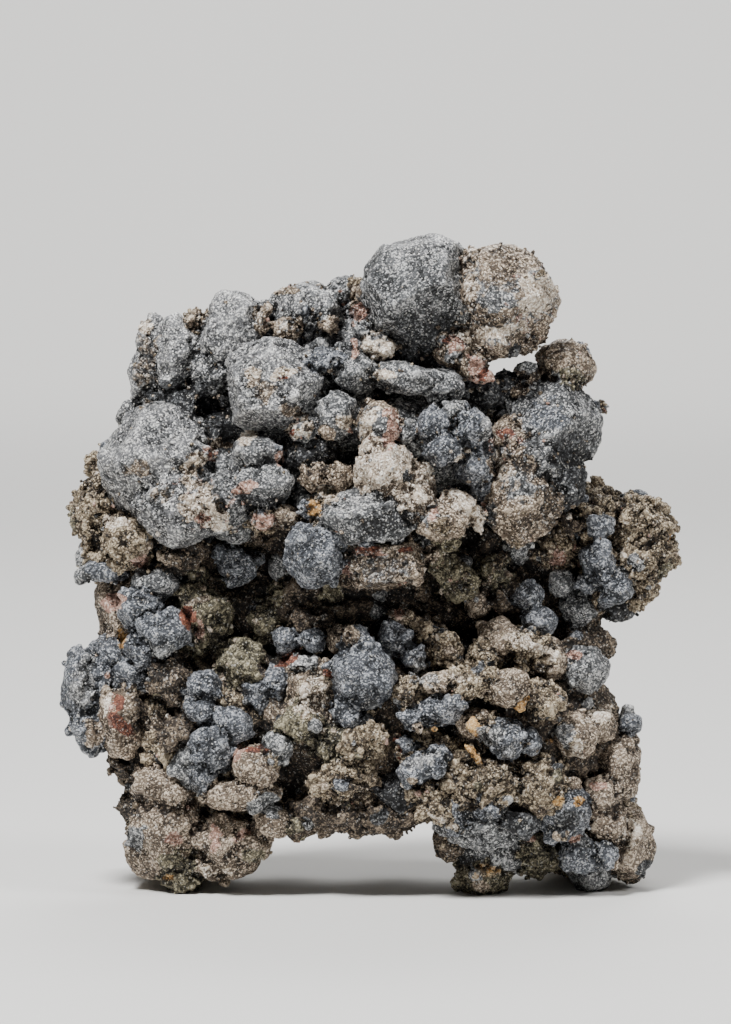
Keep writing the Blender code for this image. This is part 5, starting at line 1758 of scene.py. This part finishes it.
class Grains:
    """Crumbs and nodules that have grown on a skin, as one mesh made from arrays."""

    def __init__(self) -> None:
        """Models the two grain shapes that are copied."""
        self.shapes = {False: self.model(False), True: self.model(True)}

    @staticmethod
    def model(rounded: bool) -> tuple[np.ndarray, np.ndarray]:
        """Models one grain of radius 1 and reads its points and triangles.

        Args:
            rounded: whether it is a nodule and not a crumb.

        Returns:
            Its points, and the three points of each triangle.
        """
        deselect()
        if rounded:
            bpy.ops.mesh.primitive_uv_sphere_add(segments=7, ring_count=5, radius=1.0)
        else:
            bpy.ops.mesh.primitive_ico_sphere_add(subdivisions=1, radius=1.0)
        made = bpy.context.active_object
        bpy.ops.object.mode_set(mode="EDIT")
        bpy.ops.mesh.select_all(action="SELECT")
        bpy.ops.mesh.quads_convert_to_tris()
        bpy.ops.object.mode_set(mode="OBJECT")
        points = vertex_array(made.data, "co")
        corners = np.empty(len(made.data.polygons) * 3, dtype=np.int32)
        made.data.polygons.foreach_get("vertices", corners)
        bpy.data.objects.remove(made)
        return points, corners.reshape(-1, 3)

    def scatter(
        self,
        name: str,
        survey: Survey,
        shape: GrainShape,
        wanted: np.ndarray,
        count: int,
        seed: int,
        stray: float,
    ) -> tuple[bpy.types.Mesh, Survey, np.ndarray]:
        """Lays grains on a skin.

        Args:
            name: the new mesh's name.
            survey: the skin's points.
            shape: the kind of grain.
            wanted: how readily a grain settles at each point.
            count: how many grains there are.
            seed: the number that fixes their places.
            stray: the share of grains that are dust and don't match the skin.

        Returns:
            The mesh, the survey of its points, and each point's shade.
        """
        draw = np.random.default_rng(seed)
        host = draw.choice(len(wanted), size=count, p=wanted / wanted.sum())
        base, faces = self.shapes[shape.rounded]
        size = shape.smallest + (shape.largest - shape.smallest) * draw.beta(*GRAIN_BEND, size=count)
        stretch = draw.uniform(*GRAIN_STRETCH, size=(count, 1, 3)) * size[:, None, None]
        turns = self.random_turns(draw, count)
        knobbly = 1.0 + draw.uniform(-GRAIN_KNOBS, GRAIN_KNOBS, size=(count, len(base), 1))
        shaped = np.einsum("nij,nkj->nki", turns, base[None] * stretch * knobbly)
        sunk = survey.normals[host] * (size * draw.uniform(*GRAIN_SEAT, size=count))[:, None]
        centre = survey.points[host] + draw.uniform(-GRAIN_ASIDE, GRAIN_ASIDE, size=(count, 3)) + sunk
        points = (shaped + centre[:, None]).reshape(-1, 3)
        points[:, 2] = np.maximum(points[:, 2], 0.0)
        corners = (faces[None] + (np.arange(count) * len(base))[:, None, None]).reshape(-1, 3)
        mesh = self.mesh_of(name, points, corners)
        coats = self.dusted(draw, survey.coats[host], stray)
        repeat = np.repeat(np.arange(count), len(base))
        shade = draw.uniform(-1.0, 1.0, size=count)[repeat]
        normals = survey.normals[host][repeat]
        # How far each point of a grain faces out, which the material paints as light on its top and shade on
        # its underside
        outward = (points - centre[repeat]) / size[repeat][:, None]
        crest = np.clip(np.einsum("ij,ij->i", outward, normals), -1.0, 1.0)
        bulge = np.minimum(survey.bulge[host], GRAIN_BULGE)[repeat]
        seam = GRAIN_BORDER * survey.seam[host][repeat]
        return mesh, Survey(points, normals, coats[repeat], seam, crest, bulge), shade

    @staticmethod
    def mesh_of(name: str, points: np.ndarray, corners: np.ndarray) -> bpy.types.Mesh:
        """Makes a mesh.

        Args:
            name: the new mesh's name.
            points: places in millimetres.
            corners: the three points of each triangle.

        Returns:
            The mesh, in metres.
        """
        mesh = bpy.data.meshes.new(name)
        mesh.vertices.add(len(points))
        mesh.vertices.foreach_set("co", (points * MM).ravel())
        mesh.loops.add(corners.size)
        mesh.loops.foreach_set("vertex_index", corners.ravel())
        mesh.polygons.add(len(corners))
        mesh.polygons.foreach_set("loop_start", np.arange(0, corners.size, 3))
        mesh.update(calc_edges=True)
        mesh.validate()
        return mesh

    @staticmethod
    def dusted(draw: np.random.Generator, coats: np.ndarray, stray: float) -> np.ndarray:
        """Gives some grains the coat of dust.

        Args:
            draw: the source of chance.
            coats: the coats of what each grain lies on, which are changed in place.
            stray: the share of grains that are dust.

        Returns:
            The grains' own coats.
        """
        dust = draw.random(len(coats)) < stray
        kinds = draw.choice(len(DUST), size=len(coats), p=np.array(list(DUST.values())))
        for number, coat in enumerate(DUST):
            chosen = dust & (kinds == number)
            coats[chosen] = 0.0
            coats[chosen, Paint.KEYS.index(coat)] = 1.0
        return coats

    @staticmethod
    def random_turns(draw: np.random.Generator, count: int) -> np.ndarray:
        """Random rotation matrices, from random unit quaternions.

        Args:
            draw: the source of chance.
            count: how many there are.

        Returns:
            One matrix of three rows for each.
        """
        quads = draw.normal(size=(count, 4))
        w, x, y, z = (quads / np.linalg.norm(quads, axis=1)[:, None]).T
        rows = (
            (1 - 2 * (y * y + z * z), 2 * (x * y - z * w), 2 * (x * z + y * w)),
            (2 * (x * y + z * w), 1 - 2 * (x * x + z * z), 2 * (y * z - x * w)),
            (2 * (x * z - y * w), 2 * (y * z + x * w), 1 - 2 * (x * x + y * y)),
        )
        return np.stack([np.stack(row, axis=1) for row in rows], axis=1)


# How near a lump of another piece has to come to count as a neighbour, in millimetres between skins,
# and the size of the faces of a hollow's skin
NEIGHBOUR_GAP = 2.0
HOLLOW_VOXEL = 0.4

# How deep a crease is, as a share of a full bulge, where grains begin to gather in it and do so fully
CREASE_DEPTH = (-0.05, 0.7)

# How readily crumbs settle anywhere, in creases and on cobbles, and nodules anywhere, and how cobbled
# a coat has to be before nodules grow on it
CRUMBS_ANYWHERE = 0.0006
CRUMBS_IN_CREASES = 0.25
CRUMBS_ON_COBBLES = 0.25
NODULES_ANYWHERE = 1e-6
NODULES_FROM = 0.3


def seed_of(name: str) -> int:
    """The number that fixes what is random about a piece, which follows from its name."""
    return sum(ord(letter) for letter in name)


@dataclass
class Group:
    """One piece of the specimen: lumps fused into a skin, with relief, coats and loose grains.

    It stands for a node of the solids. The voxel is the size of its skin's faces in millimetres, and
    the stray is the share of its grains that are dust.
    """

    name: str
    lumps: tuple[Lump, ...]
    node: str
    slot: str
    finish: bpy.types.Material
    voxel: float
    crust: Crust
    stray: float
    crumbs: int
    nodules: int = 0
    hollows: tuple[Lump, ...] = ()

    def neighbours(self, groups: list["Group"]) -> tuple[Lump, ...]:
        """The other pieces' lumps that come near this one.

        Args:
            groups: all the pieces.

        Returns:
            The lumps, in the order of the pieces.
        """
        near = []
        for lump in (lump for group in groups if group is not self for lump in group.lumps):
            for own in self.lumps:
                apart = math.dist((own.x, own.y, own.z), (lump.x, lump.y, lump.z))
                if apart < own.radius() + lump.radius() + NEIGHBOUR_GAP:
                    near.append(lump)
                    break
        return tuple(near)

    def build(self, kit: "Workshop", groups: list["Group"]) -> None:
        """Args:
            kit: the tools that it is built with.
            groups: all the pieces, whose lumps may lie against this one.
        """
        crust = self.crust.grow(self.lumps, seed_of(self.name))
        piece = kit.stock.gather(self.name, self.lumps + crust)
        kit.skin.fuse(piece, self.voxel)
        if self.hollows:
            cutter = kit.stock.gather("hollows", self.hollows)
            kit.skin.fuse(cutter, HOLLOW_VOXEL)
            kit.skin.carve(piece, cutter)
        points = vertex_array(piece.data, "co") / MM
        coats = kit.paint.coats_of(points, vertex_array(piece.data, "normal"), self.lumps, crust)
        seam = kit.paint.seams_of(points, self.lumps, self.neighbours(groups))
        kit.paint.write(piece.data, "border", seam)
        kit.paint.group_weights(piece, coats, seam)
        kit.skin.roughen(piece, RELIEFS)
        kit.skin.stand_flat(piece)
        survey = kit.paint.dress(piece.data, self.lumps, crust)
        piece.vertex_groups.clear()
        self.declare(piece)
        self.strew(kit, survey)

    def strew(self, kit: "Workshop", survey: Survey) -> None:
        """Lays the piece's crumbs and nodules where they would settle or grow.

        Args:
            kit: the tools that it is built with.
            survey: what is known of the skin's points.
        """
        cobbled = kit.paint.cobbled_share(survey.coats)
        covered = np.clip(cobbled, 0.0, 1.0)
        crease = rise(-survey.bulge, *CREASE_DEPTH)
        if self.crumbs:
            wanted = CRUMBS_ANYWHERE + crease * (CRUMBS_IN_CREASES + covered) + CRUMBS_ON_COBBLES * covered
            self.add_grains(kit, "crumbs", survey, CRUMB, wanted, self.crumbs)
        if self.nodules:
            wanted = NODULES_ANYWHERE + np.clip(cobbled - NODULES_FROM, 0.0, 1.0) * (1.0 + crease)
            self.add_grains(kit, "nodules", survey, NODULE, wanted, self.nodules)

    def add_grains(
        self, kit: "Workshop", kind: str, survey: Survey, shape: GrainShape, wanted: np.ndarray, count: int
    ) -> None:
        """Adds one kind of grain as a piece of its own.

        Args:
            kit: the tools that it is built with.
            kind: the kind's name.
            survey: what is known of the skin's points.
            shape: the shape of the grains.
            wanted: how readily a grain settles at each point.
            count: how many grains there are.
        """
        name = f"{self.name}_{kind}"
        mesh, grains, shade = kit.grains.scatter(
            name, survey, shape, wanted, count, seed_of(name), self.stray
        )
        if shape.rounded:
            mesh.shade_smooth()
        else:
            mesh.shade_flat()
        kit.paint.store(mesh, grains, shade)
        piece = bpy.data.objects.new(name, mesh)
        bpy.context.scene.collection.objects.link(piece)
        self.declare(piece)

    def declare(self, piece: bpy.types.Object) -> None:
        """Gives a piece its finish, hangs it on the body, and hides the solid that it stands for.

        Args:
            piece: the piece.
        """
        piece.data.materials.clear()
        piece.data.materials.append(self.finish)
        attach(piece, BODY)
        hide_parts(self.node)
        LOG.info("%s: %d triangles", piece.name, count_triangles(piece.data))


class Workshop:
    """The tools that every group is built with."""

    def __init__(self) -> None:
        """Makes the tools."""
        self.stock = Stock()
        self.skin = Skin()
        self.paint = Paint()
        self.grains = Grains()


@dataclass
class Specimen:
    """The whole specimen, built group by group.

    A voxel is the size of a skin's faces in millimetres, coarser where little of the skin is seen. A
    stray is the share of the grains that are dust.
    """

    workshop: Workshop = field(default_factory=Workshop)
    heap_voxel: float = 0.24
    heap_core_voxel: float = 0.42
    heap_stray: float = 0.35
    rock_voxel: float = 0.27
    rock_core_voxel: float = 0.47
    rock_stray: float = 0.15
    apart_voxel: float = 0.23
    apart_stray: float = 0.12
    apart_crumbs: int = 40

    def heap(self) -> list[Group]:
        """Lists the pieces of the heap of intergrown crystals, with how many crumbs lie on each.

        Returns:
            The pieces, from the crown down.
        """
        # Acanthite is silver sulphide that tarnishes to a dull metallic grey, so it has soft broad
        # lights, with painted highlights for the speckle of small fresh faces that catch the lamp
        finish = MineralFinish("acanthite, sintered skin", Coat.GREY, roughness=0.46, metallic=0.35).make()
        made = []
        for name, lumps, crumbs in (
            ("crown_crystal", CROWN_CRYSTAL, 40),
            ("crown_partner", CROWN_PARTNER, 1200),
            ("top_ridge", TOP_RIDGE, 700),
            ("top_left_crystals", TOP_LEFT, 500),
            ("left_dome", LEFT_DOME, 900),
            ("faceted_block", BLOCK, 500),
            ("middle_cluster", MIDDLE_CLUSTER, 900),
            ("cream_cone", CREAM_CONE, 1200),
            ("ball_and_wedge", BALL_AND_WEDGE, 500),
            ("right_lumps", RIGHT_LUMPS, 1200),
            ("heap_core", HEAP_CORE, 1000),
            ("heap_back", HEAP_BACK, 1000),
        ):
            made.append(
                Group(
                    name,
                    lumps,
                    node="acanthite_heap",
                    slot="acanthite",
                    finish=finish,
                    voxel=self.heap_core_voxel if name in ("heap_core", "heap_back") else self.heap_voxel,
                    crust=NO_CRUST if name == "crown_crystal" else HEAP_CRUST,
                    stray=self.heap_stray,
                    crumbs=crumbs,
                    hollows=HEAP_HOLLOWS if name in ("heap_core", "left_dome") else (),
                )
            )
        return made

    def rock(self) -> list[Group]:
        """Lists the pieces of the rock, with how many crumbs and nodules lie on each.

        Returns:
            The pieces, the core first.
        """
        # Rock of fine grains in a sugary crust has no gloss of its own, and painted highlights stand for its
        # grains lit one by one
        finish = MineralFinish("granular rock, sugary crust", Coat.TAN, roughness=0.75, glint=0.5).make()
        made = []
        for name, lumps, crumbs, nodules in (
            ("rock_core", MATRIX_CORE, 1000, 200),
            ("left_foot", LEFT_FOOT, 1600, 250),
            ("left_wall", LEFT_WALL, 1600, 600),
            ("left_cluster_bed", LEFT_CLUSTER_BED, 500, 60),
            ("centre_rock", CENTRE, 1400, 450),
            ("right_arm", RIGHT_ARM, 1400, 1000),
            ("ledges", LEDGES, 1800, 600),
            ("right_foot", RIGHT_FOOT, 1600, 200),
            ("rock_back", BACK, 2400, 1100),
            ("cavity_lumps", CAVITY_LUMPS, 300, 60),
        ):
            made.append(
                Group(
                    name,
                    lumps,
                    node="matrix",
                    slot="granular_rock",
                    finish=finish,
                    voxel=self.rock_core_voxel if name in ("rock_core", "rock_back") else self.rock_voxel,
                    crust=ROCK_CRUST,
                    stray=self.rock_stray,
                    crumbs=crumbs,
                    nodules=nodules,
                    hollows=() if name == "cavity_lumps" else ROCK_HOLLOWS,
                )
            )
        return made

    def apart(self) -> list[Group]:
        """Lists the crystals that sit apart in the rock."""
        # The same sulphide under a thicker tarnish, which turns its grey to blue
        finish = MineralFinish("acanthite, blue-grey skin", Coat.SLATE, roughness=0.46, metallic=0.35).make()
        return [
            Group(
                f"{node}_skin",
                lumps,
                node=node,
                slot="blue_acanthite",
                finish=finish,
                voxel=self.apart_voxel,
                crust=KNOB_CRUST,
                stray=self.apart_stray,
                crumbs=self.apart_crumbs,
            )
            for node, lumps in APART.items()
        ]

    def build(self) -> None:
        """Builds every piece."""
        groups = [*self.heap(), *self.rock(), *self.apart()]
        for group in groups:
            group.build(self.workshop, groups)


@dataclass(frozen=True)
class Lamp:
    """A soft square light: its place and size in metres, and its power in watts."""

    name: str
    place: tuple[float, float, float]
    size: float
    power: float
    aim: tuple[float, float, float] = (0.0, 0.0, 0.04)


@dataclass(frozen=True)
class Studio:
    """A pale sweep, soft lights, and the camera a little above the middle of the specimen.

    Distances are in metres and the elevation is in degrees. The frame's height is what the camera
    sees at its aim, and the sensor's is in millimetres.
    """

    distance: float = 0.8
    elevation: float = 4.5
    aim: tuple[float, float, float] = (-0.0004, 0.0, 0.0416)
    frame_height: float = 0.1138
    sensor: float = 36.0
    lamps: tuple[Lamp, ...] = (
        Lamp("key", (-0.15, -0.19, 0.44), 0.12, 4.3),
        Lamp("right", (0.30, -0.14, 0.30), 0.12, 0.9),
        Lamp("back", (0.05, 0.34, 0.36), 0.25, 1.0),
        Lamp("backdrop", (0.0, 0.90, 0.90), 0.60, 15.0, (0.0, 1.40, 0.10)),
    )
    ambient: float = 0.05
    sky: str = "#e6e8ea"
    clip_start: float = 0.01
    sweep_front: float = -3.0
    sweep_back: float = 1.8
    sweep_height: float = 1.8
    sweep_width: float = 6.0
    sweep_curve: float = 0.8
    sweep_segments: int = 16
    paper: str = "#dddcd9"
    paper_roughness: float = 0.8

    def build(self) -> None:
        """Sets up the camera, the sweep and the lights."""
        self.camera()
        self.sweep()
        for lamp in self.lamps:
            self.light(lamp)
        world = bpy.data.worlds.new("studio")
        bpy.context.scene.world = world
        world.use_nodes = True
        sky = world.node_tree.nodes["Background"]
        sky.inputs["Color"].default_value = colour(self.sky)
        sky.inputs["Strength"].default_value = self.ambient

    def camera(self) -> None:
        """Places the camera."""
        lens = bpy.data.cameras.new("camera")
        lens.sensor_fit = "VERTICAL"
        lens.sensor_height = self.sensor
        lens.lens = self.sensor * self.distance / self.frame_height
        lens.clip_start = self.clip_start
        camera = bpy.data.objects.new("camera", lens)
        bpy.context.scene.collection.objects.link(camera)
        up = math.radians(self.elevation)
        camera.location = Vector(self.aim) + Vector((0.0, -math.cos(up), math.sin(up))) * self.distance
        camera.rotation_euler = (math.pi / 2.0 - up, 0.0, 0.0)
        bpy.context.scene.camera = camera

    def sweep(self) -> None:
        """Models the floor that curves up into a backdrop."""
        deselect()
        bpy.ops.mesh.primitive_plane_add(size=1.0)
        sweep = bpy.context.active_object
        sweep.name = "sweep"
        for vertex in sweep.data.vertices:
            vertex.co.x *= self.sweep_width
            vertex.co.y = self.sweep_front if vertex.co.y < 0.0 else self.sweep_back
        bpy.ops.object.mode_set(mode="EDIT")
        bpy.ops.mesh.select_mode(type="EDGE")
        bpy.ops.mesh.select_all(action="DESELECT")
        bpy.ops.object.mode_set(mode="OBJECT")
        for edge in sweep.data.edges:
            ends = [sweep.data.vertices[index].co.y for index in edge.vertices]
            edge.select = min(ends) > 0.0
        bpy.ops.object.mode_set(mode="EDIT")
        bpy.ops.mesh.extrude_region_move(TRANSFORM_OT_translate={"value": (0.0, 0.0, self.sweep_height)})
        bpy.ops.object.mode_set(mode="OBJECT")
        Skin.apply(
            sweep, "BEVEL", width=self.sweep_curve, segments=self.sweep_segments, limit_method="ANGLE"
        )
        sweep.data.shade_smooth()
        # Uncoated paper has no gloss, so the floor and the backdrop shade into each other
        made = bpy.data.materials.new("pale matt paper")
        made.use_nodes = True
        shader = made.node_tree.nodes["Principled BSDF"]
        shader.inputs["Base Color"].default_value = colour(self.paper)
        shader.inputs["Roughness"].default_value = self.paper_roughness
        sweep.data.materials.append(made)

    def light(self, lamp: Lamp) -> None:
        """Adds one soft light that faces the specimen.

        Args:
            lamp: the light's place, size and power.
        """
        made = bpy.data.lights.new(lamp.name, "AREA")
        made.size = lamp.size
        made.energy = lamp.power
        holder = bpy.data.objects.new(lamp.name, made)
        bpy.context.scene.collection.objects.link(holder)
        holder.location = lamp.place
        holder.rotation_euler = (Vector(lamp.aim) - Vector(lamp.place)).to_track_quat("-Z", "Y").to_euler()


def main() -> None:
    """Builds the specimen and its studio."""
    logging.basicConfig(level=logging.INFO, format="%(name)s: %(message)s")
    Specimen().build()
    Studio().build()


if __name__ == "__main__":
    main()
